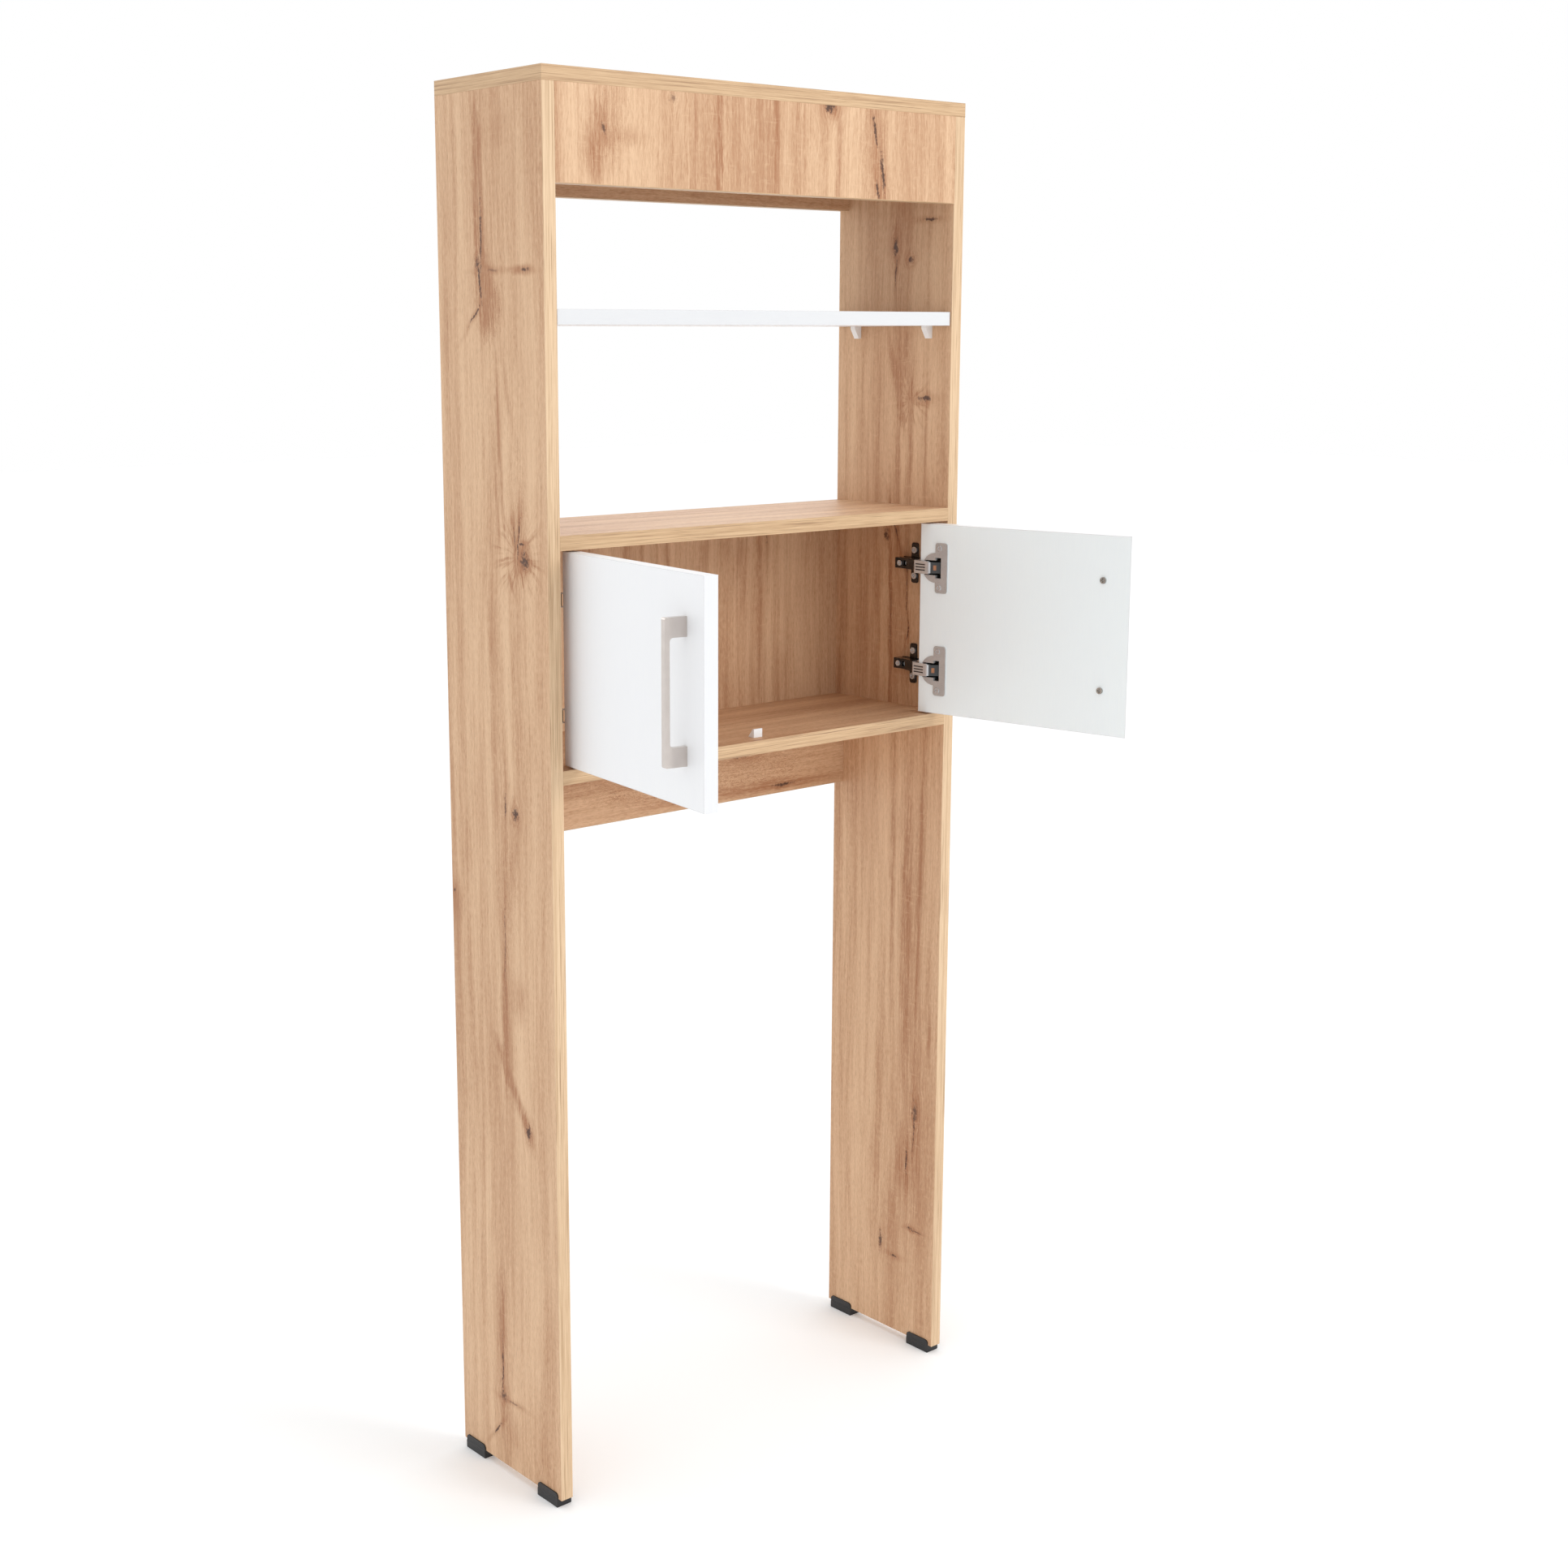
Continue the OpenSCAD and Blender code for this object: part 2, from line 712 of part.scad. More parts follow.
// Cup with its flange: the pocket takes the link's end
module hinge_cup(side, z) {
    deep = board - cup_depth;
    color(nickel) on_door(side) translate([0, 0, z]) difference() {
        union() {
            translate([cup_in, 0, 0]) rod_y(cup_r, deep, board);
            translate([cup_in, 0, 0]) rod_y(cup_r + rim_w, board, board + rim_h);
            translate([flange_s, board + flange_t, -flange_h / 2]) rotate([90, 0, 0])
                linear_extrude(flange_t) round_rect(flange_w, flange_h, flange_r);
        }
        block([7, deep + cup_wall, -pocket_z], [31, board + 3, pocket_z]);
        block([23, deep + cup_wall, -wide_z], [31, board + 3, wide_z]);
        translate([cup_pin_s, cup_pin_t, 0]) rod_z(cup_pin_r + slack, cup_pin_z + 0.2);
        for (d = [-1, 1]) translate([cup_in + screw_back, 0, d * screw_pitch / 2])
            rod_y(cup_screw_r + 2 * slack, board - eps, board + 3);
    }
}
module hinge_cup_left_upper() { hinge_cup(LEFT, UPPER); }
module hinge_cup_left_lower() { hinge_cup(LEFT, LOWER); }
module hinge_cup_right_upper() { hinge_cup(RIGHT, UPPER); }
module hinge_cup_right_lower() { hinge_cup(RIGHT, LOWER); }

module cup_screws(side) {
    color(nickel) on_door(side) for (z = HINGE_Z) for (d = [-1, 1])
        translate([cup_in + screw_back, board + flange_t, z + d * screw_pitch / 2]) rotate([0, 0, 90])
        screw_x(cup_screw_head[0], cup_screw_head[1], cup_screw_r, cup_screw_l);
}
module cup_screws_left() { cup_screws(LEFT); }
module cup_screws_right() { cup_screws(RIGHT); }

module cup_pins(side) {
    color(nickel) on_door(side) for (z = HINGE_Z)
        translate([cup_pin_s, cup_pin_t, z]) rod_z(cup_pin_r, cup_pin_z);
}
module cup_pins_left() { cup_pins(LEFT); }
module cup_pins_right() { cup_pins(RIGHT); }

// Closing spring, a bent leaf that stands against the far wall of the cup
module cup_springs(side) {
    color([0.80, 0.52, 0.30]) on_door(side) for (z = HINGE_Z) translate([0, 0, z - spring_z])
        linear_extrude(2 * spring_z) polygon([[28.4, 5.6], [30.8, 5.6], [30.8, 13.4], [30.1, 13.4],
                                   [30.1, 6.4], [28.4, 6.4]]);
}
module cup_springs_left() { cup_springs(LEFT); }
module cup_springs_right() { cup_springs(RIGHT); }

side_panel_left();
side_panel_right();
top_panel();
fascia_board();
upper_back_rail();
lower_back_rail();
fixed_shelf();
cabinet_floor();
adjustable_shelf();
back_panel();
side_edge_bands();
top_edge_bands();
board_edge_bands();
shelf_edge_bands();
foot_front_left();
foot_front_right();
foot_rear_left();
foot_rear_right();
foot_screws();
shelf_pins();
door_stop();
cam_locks();
cam_bolts();
dowels();
back_panel_nails();
hinge_plate_left_upper();
hinge_plate_left_lower();
hinge_plate_right_upper();
hinge_plate_right_lower();
hinge_arm_left_upper();
hinge_arm_left_lower();
hinge_arm_right_upper();
hinge_arm_right_lower();
hinge_plate_screws();
hinge_arm_screws();
hinge_arm_pins();
door_panel_left();
door_panel_right();
door_edge_bands_left();
door_edge_bands_right();
handle_left();
handle_right();
handle_screws_left();
handle_screws_right();
hinge_cup_left_upper();
hinge_cup_left_lower();
hinge_cup_right_upper();
hinge_cup_right_lower();
cup_screws_left();
cup_screws_right();
cup_pins_left();
cup_pins_right();
cup_springs_left();
cup_springs_right();
hinge_link_left_upper();
hinge_link_left_lower();
hinge_link_right_upper();
hinge_link_right_lower();
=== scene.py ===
# %% [markdown]
# # An over the toilet rack, finished and lit
# The rack is made of oak-faced boards with thin strips of banding on their edges, a white
# loose shelf, and a small cupboard with two white doors on sprung cup hinges.
# The packed model gives every part its shape and place. This script gives the parts their
# finishes, makes the small fittings again with the soft bends of pressed metal, and sets up
# a plain studio. All lengths are metres, and Z is up.

# %% Load the rack, and measure a part's box
import json
import math

import bmesh
import bpy
from mathutils import Matrix, Vector

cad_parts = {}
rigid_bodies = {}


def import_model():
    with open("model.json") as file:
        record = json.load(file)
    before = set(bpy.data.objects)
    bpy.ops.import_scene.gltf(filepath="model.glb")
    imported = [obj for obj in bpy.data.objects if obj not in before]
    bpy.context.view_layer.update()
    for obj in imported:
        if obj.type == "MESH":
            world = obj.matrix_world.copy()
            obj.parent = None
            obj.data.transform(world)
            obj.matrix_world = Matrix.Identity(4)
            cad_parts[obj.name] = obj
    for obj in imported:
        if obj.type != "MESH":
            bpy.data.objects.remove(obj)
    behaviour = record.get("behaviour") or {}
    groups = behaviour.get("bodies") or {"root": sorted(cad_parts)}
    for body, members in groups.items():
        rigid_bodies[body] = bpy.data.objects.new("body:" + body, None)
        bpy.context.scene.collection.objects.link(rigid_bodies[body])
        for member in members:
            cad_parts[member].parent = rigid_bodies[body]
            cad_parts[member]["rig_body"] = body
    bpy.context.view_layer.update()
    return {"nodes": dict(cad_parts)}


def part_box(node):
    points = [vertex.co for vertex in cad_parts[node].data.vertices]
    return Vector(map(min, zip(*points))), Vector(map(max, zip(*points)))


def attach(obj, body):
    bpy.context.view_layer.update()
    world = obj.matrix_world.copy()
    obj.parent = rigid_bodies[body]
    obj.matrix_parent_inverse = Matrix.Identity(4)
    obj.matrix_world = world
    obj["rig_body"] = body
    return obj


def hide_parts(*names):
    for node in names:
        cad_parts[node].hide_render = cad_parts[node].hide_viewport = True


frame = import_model()
nodes = frame["nodes"]
MM = 0.001

# %% [markdown]
# ## The camera
# A rack this tall is best seen from a little above the middle and well to its left, so that
# the outer side, the open doors and the inside of the right side all show. The lens is a
# short portrait lens. Tilting a camera down makes upright edges lean, so the tilt is small,
# and the lens shift places the rack in the frame instead.

# %% Camera
CAMERA_PLACE = Vector((-1.656, -1.806, 1.3105))
CAMERA_TURN = math.radians(-39.52)
CAMERA_TILT = math.radians(90 - 10.82)
CAMERA_ROLL = math.radians(-0.19)
LENS_LENGTH = 49.94
LENS_SHIFT = (0.0682, -0.0177)

lens = bpy.data.cameras.new("studio_camera")
lens.lens = LENS_LENGTH
lens.shift_x, lens.shift_y = LENS_SHIFT
camera = bpy.data.objects.new("studio_camera", lens)
bpy.context.scene.collection.objects.link(camera)
turn = Matrix.Rotation(CAMERA_TURN, 4, "Z") @ Matrix.Rotation(CAMERA_TILT, 4, "X")
roll = Matrix.Rotation(CAMERA_ROLL, 4, "Z")
camera.matrix_world = Matrix.Translation(CAMERA_PLACE) @ turn @ roll
bpy.context.scene.camera = camera
print("camera stands", round(CAMERA_PLACE.length, 2), "m from the rack's foot")

# %% [markdown]
# ## Shader maths as sums
# A finish is a small sum: so much of the dark colour where a pore is, so much of the light
# one elsewhere. Blender writes such a sum as a chain of Math nodes. Wrapping a socket in a
# class with its own + - * / lets the sum be written as a sum, and the class adds the nodes.

# %% A socket that can be used in sums


class Signal:
    """The output of a node. A sum with it adds the Math node that works it out."""

    def __init__(self, recipe, socket):
        self.recipe = recipe
        self.socket = socket

    def math(self, operation, *values):
        return self.recipe.math(operation, *values)

    def __add__(self, other):
        return self.math("ADD", self, other)

    def __radd__(self, other):
        return self.math("ADD", other, self)

    def __sub__(self, other):
        return self.math("SUBTRACT", self, other)

    def __rsub__(self, other):
        return self.math("SUBTRACT", other, self)

    def __mul__(self, other):
        return self.math("MULTIPLY", self, other)

    def __rmul__(self, other):
        return self.math("MULTIPLY", other, self)

    def __truediv__(self, other):
        return self.math("DIVIDE", self, other)

    def __rtruediv__(self, other):
        return self.math("DIVIDE", other, self)

    def __abs__(self):
        return self.math("ABSOLUTE", self)

    def sine(self):
        return self.math("SINE", self)

    def larger(self, other):
        return self.math("MAXIMUM", self, other)

    def smaller(self, other):
        return self.math("MINIMUM", self, other)

    def span(self, start, end, low, high, step="LINEAR"):
        """low at start and high at end, and never beyond either."""
        sockets = {0: self, 1: start, 2: end, 3: low, 4: high}
        return self.recipe.add("ShaderNodeMapRange", {"interpolation_type": step}, sockets)

    def fade(self, start, end):
        """0 at start and 1 at end, with a soft step between them."""
        return self.span(start, end, 0.0, 1.0, step="SMOOTHSTEP")


print("a socket now knows these sums:", [name for name in vars(Signal) if name.startswith("__r")])

# %% [markdown]
# ## Recipes
# A recipe is a tree of nodes and one method, add, that puts any node in it. Colours and
# vectors don't go through Math nodes, which would turn a colour grey, so they have a method
# each: mix for colours, and shift and stretch for vectors.

# %% A recipe: a tree of nodes, and the method that adds any node to it


class Recipe:
    """A node tree that is filled by writing sums."""

    def __init__(self, tree):
        self.tree = tree

    def add(self, kind, settings=None, sockets=None, out=0):
        """Adds a node: its settings come first, then the values or links of its sockets."""
        node = self.tree.nodes.new(kind)
        for name, value in (settings or {}).items():
            setattr(node, name, value)
        for name, value in (sockets or {}).items():
            self.feed(node.inputs[name], value)
        return Signal(self, node.outputs[out])

    def feed(self, socket, value):
        if isinstance(value, Signal):
            self.tree.links.new(value.socket, socket)
        else:
            socket.default_value = value

    def math(self, operation, *values):
        return self.add("ShaderNodeMath", {"operation": operation}, dict(enumerate(values)))

    def split(self, vector):
        return [self.add("ShaderNodeSeparateXYZ", None, {0: vector}, out=axis) for axis in "XYZ"]

    def vector(self, x, y, z):
        return self.add("ShaderNodeCombineXYZ", None, {0: x, 1: y, 2: z})

    def shift(self, vector, by):
        return self.add("ShaderNodeVectorMath", {"operation": "ADD"}, {0: vector, 1: by})

    def stretch(self, vector, by):
        return self.add("ShaderNodeVectorMath", {"operation": "MULTIPLY"}, {0: vector, 1: by})

    def length(self, vector):
        settings = {"operation": "LENGTH"}
        return self.add("ShaderNodeVectorMath", settings, {0: vector}, out="Value")

    def noise(self, vector, detail=2.0, roughness=0.5):
        sockets = {"Vector": vector, "Scale": 1.0, "Detail": detail, "Roughness": roughness}
        return self.add("ShaderNodeTexNoise", None, sockets)

    def mix(self, factor, first, second):
        sockets = {0: factor, 6: first, 7: second}
        return self.add("ShaderNodeMix", {"data_type": "RGBA"}, sockets, out=2)


print("a recipe can:", [name for name in vars(Recipe) if not name.startswith("_")])

# %% [markdown]
# ## A finish
# Each finish is one material with one Principled shader, which suits wood, plastic and metal
# alike. Values that are the same all over, such as how metallic it is, are set on the shader
# itself. Patterns are placed by the object's own coordinates, so that they stay on the part
# when a door swings. Colours are written as on a painter's chart, from 0 to 255, and a shader
# wants the amount of light, which is not the same number.

# %% A finish, and colours for it


class Finish(Recipe):
    """A material, and the place on the object that its patterns are drawn by."""

    def __init__(self, name, fixed):
        self.material = bpy.data.materials.new(name)
        self.material.use_nodes = True
        super().__init__(self.material.node_tree)
        self.shader = self.tree.nodes["Principled BSDF"]
        for socket, value in fixed.items():
            self.shader.inputs[socket].default_value = value
        self.place = self.add("ShaderNodeTexCoord", out="Object")
        self.x, self.y, self.z = self.split(self.place)

    def bump(self, height, depth):
        """Feeds the shader's Normal from a height of 0 to 1 that stands for depth metres."""
        sockets = {"Height": height, "Distance": depth, "Strength": 1.0}
        self.feed(self.shader.inputs["Normal"], self.add("ShaderNodeBump", None, sockets))

    def show(self, colour, roughness):
        self.feed(self.shader.inputs["Base Color"], colour)
        self.feed(self.shader.inputs["Roughness"], roughness)
        return self.material


def paint(red, green, blue):
    """A colour of the chart as the four linear numbers that a shader takes."""
    parts = [c / 255 for c in (red, green, blue)]
    linear = [c / 12.92 if c <= 0.04 else ((c + 0.055) / 1.055) ** 2.4 for c in parts]
    return (*linear, 1.0)


print("a mid grey on the chart is", round(paint(128, 128, 128)[0], 3), "in light")

# %% [markdown]
# ## Where the boards are
# Patterns are placed from the rack's own corners, and the corners are measured from the
# parts, so that no number has to be copied by hand.

# %% Measure the sides
band_low, band_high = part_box("side_edge_bands")
FRONT = band_low.y
LEFT_X = band_low.x
RIGHT_X = band_high.x
print("the front plane is at y", round(FRONT, 4), "and the sides at x", LEFT_X, RIGHT_X)

# %% [markdown]
# ## Which way the grain lies
# The boards are cut so that the grain runs along their length: upright in the sides, and from
# side to side in the shelves. Each function below reads one direction on a board: across the
# grain, along it, or into the thickness. The thickness is stretched, so that the two faces of
# one board don't carry the same pattern.

# %% Directions on a board


def upright_side(finish):
    return finish.y - FRONT


def upright_face(finish):
    return finish.x - LEFT_X


def level(finish):
    return finish.y + finish.z


def height(finish):
    return finish.z * 1.0


def along_width(finish):
    return finish.x * 1.0


def both_widths(finish):
    return finish.x + finish.y


def other_face(finish):
    return finish.x * 6


def other_level(finish):
    return finish.z * 6


def no_depth(finish):
    return finish.y * 0.5


print("the sides are", round(RIGHT_X - LEFT_X, 4), "m apart, over their outer faces")

# %% [markdown]
# ## Oak-faced board
# The boards are chipboard faced with a printed oak pattern: pale fibres, redder streaks where
# the growth rings crowd, and a few knots with dark cracks that the fibres run round. A flat
# brown with lines on it looks like plastic, so the pattern is built up as the tree does it,
# from five tones: pale and middling wood, the red of the crowded rings, and two darks.

# %% Tones of the oak
OAK_PALE = paint(226, 190, 154)
OAK_MID = paint(193, 150, 115)
OAK_RED = paint(170, 119, 84)
OAK_DARK = paint(116, 80, 60)
OAK_CRACK = paint(70, 48, 40)
print("the pale oak is", round(OAK_PALE[0] / OAK_CRACK[0], 1), "times as bright as a crack")

# %% [markdown]
# ## Marks
# What makes one board differ from the next are its marks. A stain is a soft long streak. A
# flame is a tall oval of rings, where the saw met the heart of the tree. A knot is a branch
# that was cut through, a crack is a thin dark split, and a fan is a burst of rays at one side
# of a knot. All are ovals placed one by one in millimetres, which is quicker to correct than a
# random scatter, and the same on every run.

# %% A mark, and how far a point is from its middle


class Mark:
    """A mark's place and half sizes in millimetres, across and along the grain."""

    def __init__(self, kind, across, along, half_width, half_length, lean=0.0, strength=1.0):
        self.kind = kind
        self.across = across * MM
        self.along = along * MM
        self.half_width = half_width * MM
        self.half_length = half_length * MM
        self.lean = lean
        self.strength = strength


def oval(finish, place, mark):
    """Distance from a mark's middle: 0 there and 1 at its edge."""
    across, along = place
    side = across - mark.across - (along - mark.along) * mark.lean
    along_mark = (along - mark.along) / mark.half_length
    return finish.length(finish.vector(side / mark.half_width, along_mark, 0.0))


print("a mark has:", list(vars(Mark("knot", 43, 1081, 9, 10))))

# %% [markdown]
# ## Fibres, rings and pores
# Everything in the grain is noise that is drawn out along it: hair-fine fibres, broader
# threads, and the slow change from ring to ring. The order matters. The grain is first made
# to sway and to run round the knots, and only then are the fibres drawn, so that they flow
# round a knot as they do in a tree. Small crumbs and flecks are drawn before that, because
# they cross the grain.

# %% The grain of one face


class Grain:
    """The noises of one face. side, under and length are the places across, into and along."""

    def __init__(self, finish, side, under, length, marks, seed):
        self.finish, self.side, self.under, self.length = finish, side, under, length
        self.start = (seed, seed * 0.37, seed * 0.61)
        self.place = self.placed(side)
        self.ripple = self.streaks(70, 38) - 0.5
        self.wobble = self.streaks(45, 26, 3.0, 0.6) - 0.5
        self.crumb = self.streaks(330, 300, 2.0, 0.6) - 0.5
        self.fleck = self.streaks(60, 260, 2.0, 0.55).fade(0.60, 0.74)
        self.strayed = (side + self.wobble * 0.009, length + self.ripple * 0.004)
        self.bend(marks)
        self.fibre = self.streaks(1100, 130, 2.0, 0.6) - 0.5
        self.thread = self.streaks(420, 16, 3.0, 0.6) - 0.5
        self.ring = self.streaks(58, 1.7, 3.0, 0.65) - 0.5
        self.cloud = self.streaks(13, 2.6) - 0.5
        self.blush = self.streaks(24, 1.9).fade(0.48, 0.72) * 0.30
        self.pore = self.streaks(1500, 110, 1.0).fade(0.60, 0.80)
        self.ragged = (self.streaks(620, 150, 3.0, 0.7) - 0.5) * 1.5

    def placed(self, side):
        spot = self.finish.vector(side, self.under, self.length)
        return self.finish.shift(spot, self.start)

    def streaks(self, across, along, detail=2.0, roughness=0.5):
        """Noise with so many streaks to a metre across the grain and along it."""
        stretched = self.finish.stretch(self.place, (across, across, along))
        return self.finish.noise(stretched, detail, roughness)

    def bend(self, marks):
        """Makes the grain sway and run round the knots. What is drawn later follows it."""
        bent = self.side + (self.streaks(7, 1.8, 1.0) - 0.5) * 0.030 + self.ripple * 0.0028
        for mark in marks:
            if mark.kind == "knot":
                near = 1 - oval(self.finish, (self.side, self.length), mark).fade(0.0, 3.6)
                bent = bent + (self.side - mark.across) * near * -0.85
        self.place = self.placed(bent)

    def distance(self, mark, ragged):
        """Distance from a mark's middle, with an edge as ragged as is asked for."""
        return oval(self.finish, self.strayed, mark) + self.ragged * ragged


print("a grain has fibres, threads, rings, clouds and pores, and flecks and crumbs across them")

# %% [markdown]
# ## How each kind of mark is drawn
# Every function below gives two amounts: how much a mark reddens the wood, and how much it
# blackens it. Stains, flames and fans only redden. Rings are a sine of the distance from the
# middle, and the rays of a fan are noise that depends on the direction from the knot.

# %% Marks that redden the wood


def draw_stain(grain, mark):
    distance = grain.distance(mark, 0.45)
    return (1 - distance.fade(0.0, 1.75)) * (mark.strength * 1.15), None


def draw_flame(grain, mark):
    distance = grain.distance(mark, 0.75)
    rings = (distance * 30.0 + grain.wobble * 6.0).sine().fade(0.0, 0.95)
    return rings * (1 - distance.fade(0.7, 1.1)) * mark.strength, None


def draw_fan(grain, mark):
    finish = grain.finish
    side, length = grain.strayed[0] - mark.across, grain.strayed[1] - mark.along
    turn = finish.math("ARCTAN2", length, side)
    reach = finish.length(finish.vector(side / mark.half_width, length / mark.half_length, 0.0))
    ray = finish.noise(finish.vector(turn * 5.0, reach * 1.2, 0.0), 3.0, 0.6).fade(0.44, 0.70)
    return ray * (1 - reach.fade(0.35, 1.0)) * reach.fade(0.02, 0.3) * mark.strength, None


print("marks that redden:", draw_stain.__name__, draw_flame.__name__, draw_fan.__name__)

# %% Marks that blacken it as well


def broken_edge(grain, mark):
    """Distance from a knot or crack, whose edge is broken up by crumbs."""
    return grain.distance(mark, 0.75) + grain.crumb * 1.9


def draw_knot(grain, mark):
    distance = broken_edge(grain, mark)
    heart = (1 - distance.fade(0.0, 1.15)) * mark.strength
    rings = (distance * 9.0 + grain.wobble * 10.0).sine() * 0.22 + 0.62
    halo = (1 - grain.distance(mark, 0.3).fade(0.4, 3.0)) * rings
    return halo * (mark.strength * 0.8), heart


def draw_crack(grain, mark):
    split = (1 - broken_edge(grain, mark).fade(0.0, 1.15)) * mark.strength
    return (1 - grain.distance(mark, 0.3).fade(0.3, 3.6)) * 0.5, split


DRAW = {
    "stain": draw_stain,
    "flame": draw_flame,
    "fan": draw_fan,
    "knot": draw_knot,
    "crack": draw_crack,
}


def all_marks(grain, marks):
    """The reddening of all marks together, and the blackest of their cracks."""
    red, black = 0.0, None
    for mark in marks:
        stain, crack = DRAW[mark.kind](grain, mark)
        red = red + stain
        if crack is not None:
            black = crack if black is None else black.larger(crack)
    return red, black


print("kinds of mark:", list(DRAW))

# %% [markdown]
# ## From grain to colour
# The tone of the wood is the sum of its rings, threads and fibres. Where it is high, the
# rings crowd and the wood is redder. Pores are small dark dashes, and flecks are the pale
# glints that cross an oak board. The marks come last. Threads and fibres stay visible through
# them, because a stain that hides the grain looks like a blot.

# %% How red the wood is


def redness(grain, tone, stain):
    """Where the growth rings crowd, or a mark stains the wood."""
    blush = grain.blush * (0.7 + grain.thread * 1.5)
    red = (tone + 0.06).fade(0.10, 0.75) * 0.80 + blush
    if stain is None:
        return red
    return red.larger(stain.smaller(0.95) * (0.86 + grain.thread * 2.0 + grain.fibre * 1.2))


print("the sum for redness is ready, and its red is", [round(c, 2) for c in OAK_RED[:3]])

# %% The oak finish


def oak(name, across, depth, along, marks, seed):
    """A printed oak face. across, depth and along say which way the grain lies."""
    finish = Finish(name, {"Specular IOR Level": 0.32})
    grain = Grain(finish, across(finish), depth(finish), along(finish), marks, seed)
    stain, crack = all_marks(grain, marks) if marks else (None, None)
    tone = grain.ring * 1.15 + grain.thread * 0.6 + grain.cloud * 0.6 + grain.fibre * 0.85
    colour = finish.mix((0.5 - tone).fade(0.10, 0.90), OAK_MID, OAK_PALE)
    colour = finish.mix(redness(grain, tone, stain), colour, OAK_RED)
    colour = finish.mix(grain.fleck * 0.22, colour, OAK_PALE)
    colour = finish.mix(grain.pore * 0.26, colour, OAK_DARK)
    if crack is not None:
        colour = finish.mix(crack.fade(0.0, 0.6) * 0.66, colour, OAK_DARK)
        colour = finish.mix(crack.fade(0.35, 0.9) * 0.80, colour, OAK_CRACK)
    finish.bump(grain.fibre * 0.5 - grain.pore * 0.6, 0.12 * MM)
    return finish.show(colour, 0.50 + grain.fibre * 0.16 + grain.pore * 0.10)


oak_level = oak("oak_level", level, other_level, along_width, [], seed=4.7)
print("the shelves' oak has", len(oak_level.node_tree.nodes), "nodes")

# %% [markdown]
# ## The marked boards
# The shelves are too narrow for marks to be noticed, but on the two sides, the fascia, the
# back and the lower rail they are what one looks at. The left side shows its outer face and
# the right side its inner one. Marks go from the front edge backwards and from the floor up,
# or from the left side rightwards on boards that face the front.

# %% Outer face of the left side
SIDE_MARKS = [
    Mark("stain", 118, 1535, 6, 40, strength=0.6),
    Mark("stain", 78, 1530, 14, 24, strength=0.35),
    Mark("stain", 117, 1462, 8, 80, strength=0.9),
    Mark("stain", 110, 1392, 12, 50, strength=0.6),
    Mark("flame", 100, 1350, 26, 46, strength=0.45),
    Mark("crack", 113, 1420, 2.2, 50, lean=-0.03, strength=0.85),
    Mark("knot", 120, 1392, 5, 10, strength=0.8),
    Mark("crack", 116, 1372, 2.6, 30, lean=0.08, strength=0.9),
    Mark("stain", 108, 1352, 20, 26, strength=0.6),
    Mark("crack", 127, 1338, 2.4, 12, lean=-0.9),
    Mark("stain", 97, 1345, 16, 26, strength=0.55),
    Mark("crack", 92, 1384, 16, 2.0, strength=0.5),
    Mark("crack", 35, 1383, 10, 2.6, strength=0.85),
    Mark("stain", 40, 1383, 16, 5, strength=0.6),
    Mark("stain", 86, 1210, 3.5, 100, lean=0.06, strength=0.75),
    Mark("stain", 70, 1260, 5, 50, lean=0.22, strength=0.4),
    Mark("knot", 43, 1081, 9, 10, strength=1.0),
    Mark("crack", 41, 1079, 6, 7, strength=1.0),
    Mark("crack", 52, 1104, 2.0, 26, lean=-0.14),
    Mark("crack", 46, 1098, 8, 1.8, lean=0.5),
    Mark("crack", 60, 1104, 2.2, 16, lean=0.1, strength=0.55),
    Mark("stain", 52, 1102, 14, 34, strength=0.4),
    Mark("flame", 56, 1150, 20, 60, strength=0.3),
    Mark("fan", 54, 1084, 66, 60, strength=0.9),
    Mark("stain", 66, 1052, 2.5, 14, lean=0.4, strength=0.6),
    Mark("stain", 92, 1140, 3, 60, lean=0.05, strength=0.6),
    Mark("stain", 107, 985, 5, 22, strength=0.4),
    Mark("stain", 105, 880, 7, 30, strength=0.4),
    Mark("knot", 67, 800, 7, 9, strength=1.0),
    Mark("stain", 72, 760, 9, 70, lean=-0.1, strength=0.5),
    Mark("crack", 86, 805, 1.8, 22, strength=0.8),
    Mark("flame", 86, 700, 22, 70, strength=0.35),
    Mark("stain", 104, 810, 6, 30, strength=0.45),
    Mark("stain", 188, 680, 13, 26, strength=0.8),
    Mark("knot", 191, 692, 3, 4, strength=0.8),
    Mark("crack", 92, 640, 1.3, 75, lean=-0.02, strength=0.6),
    Mark("stain", 94, 590, 6, 90, strength=0.5),
    Mark("stain", 66, 590, 14, 24, strength=0.5),
    Mark("stain", 78, 478, 8, 54, lean=0.62, strength=0.9),
    Mark("stain", 90, 545, 9, 60, strength=0.5),
    Mark("knot", 53, 438, 6, 10, strength=1.0),
    Mark("stain", 100, 380, 20, 160, strength=0.25),
    Mark("stain", 112, 175, 10, 80, strength=0.75),
    Mark("knot", 112, 96, 7, 9, strength=0.7),
    Mark("crack", 113, 130, 1.6, 45, lean=-0.03),
    Mark("crack", 127, 48, 2.4, 12, lean=-0.9),
    Mark("stain", 97, 55, 16, 26, strength=0.5),
    Mark("crack", 92, 94, 16, 2.0, strength=0.5),
]
oak_side_left = oak("oak_side_left", upright_side, other_face, height, SIDE_MARKS, seed=0.3)
print("marks on the left side:", len(SIDE_MARKS))

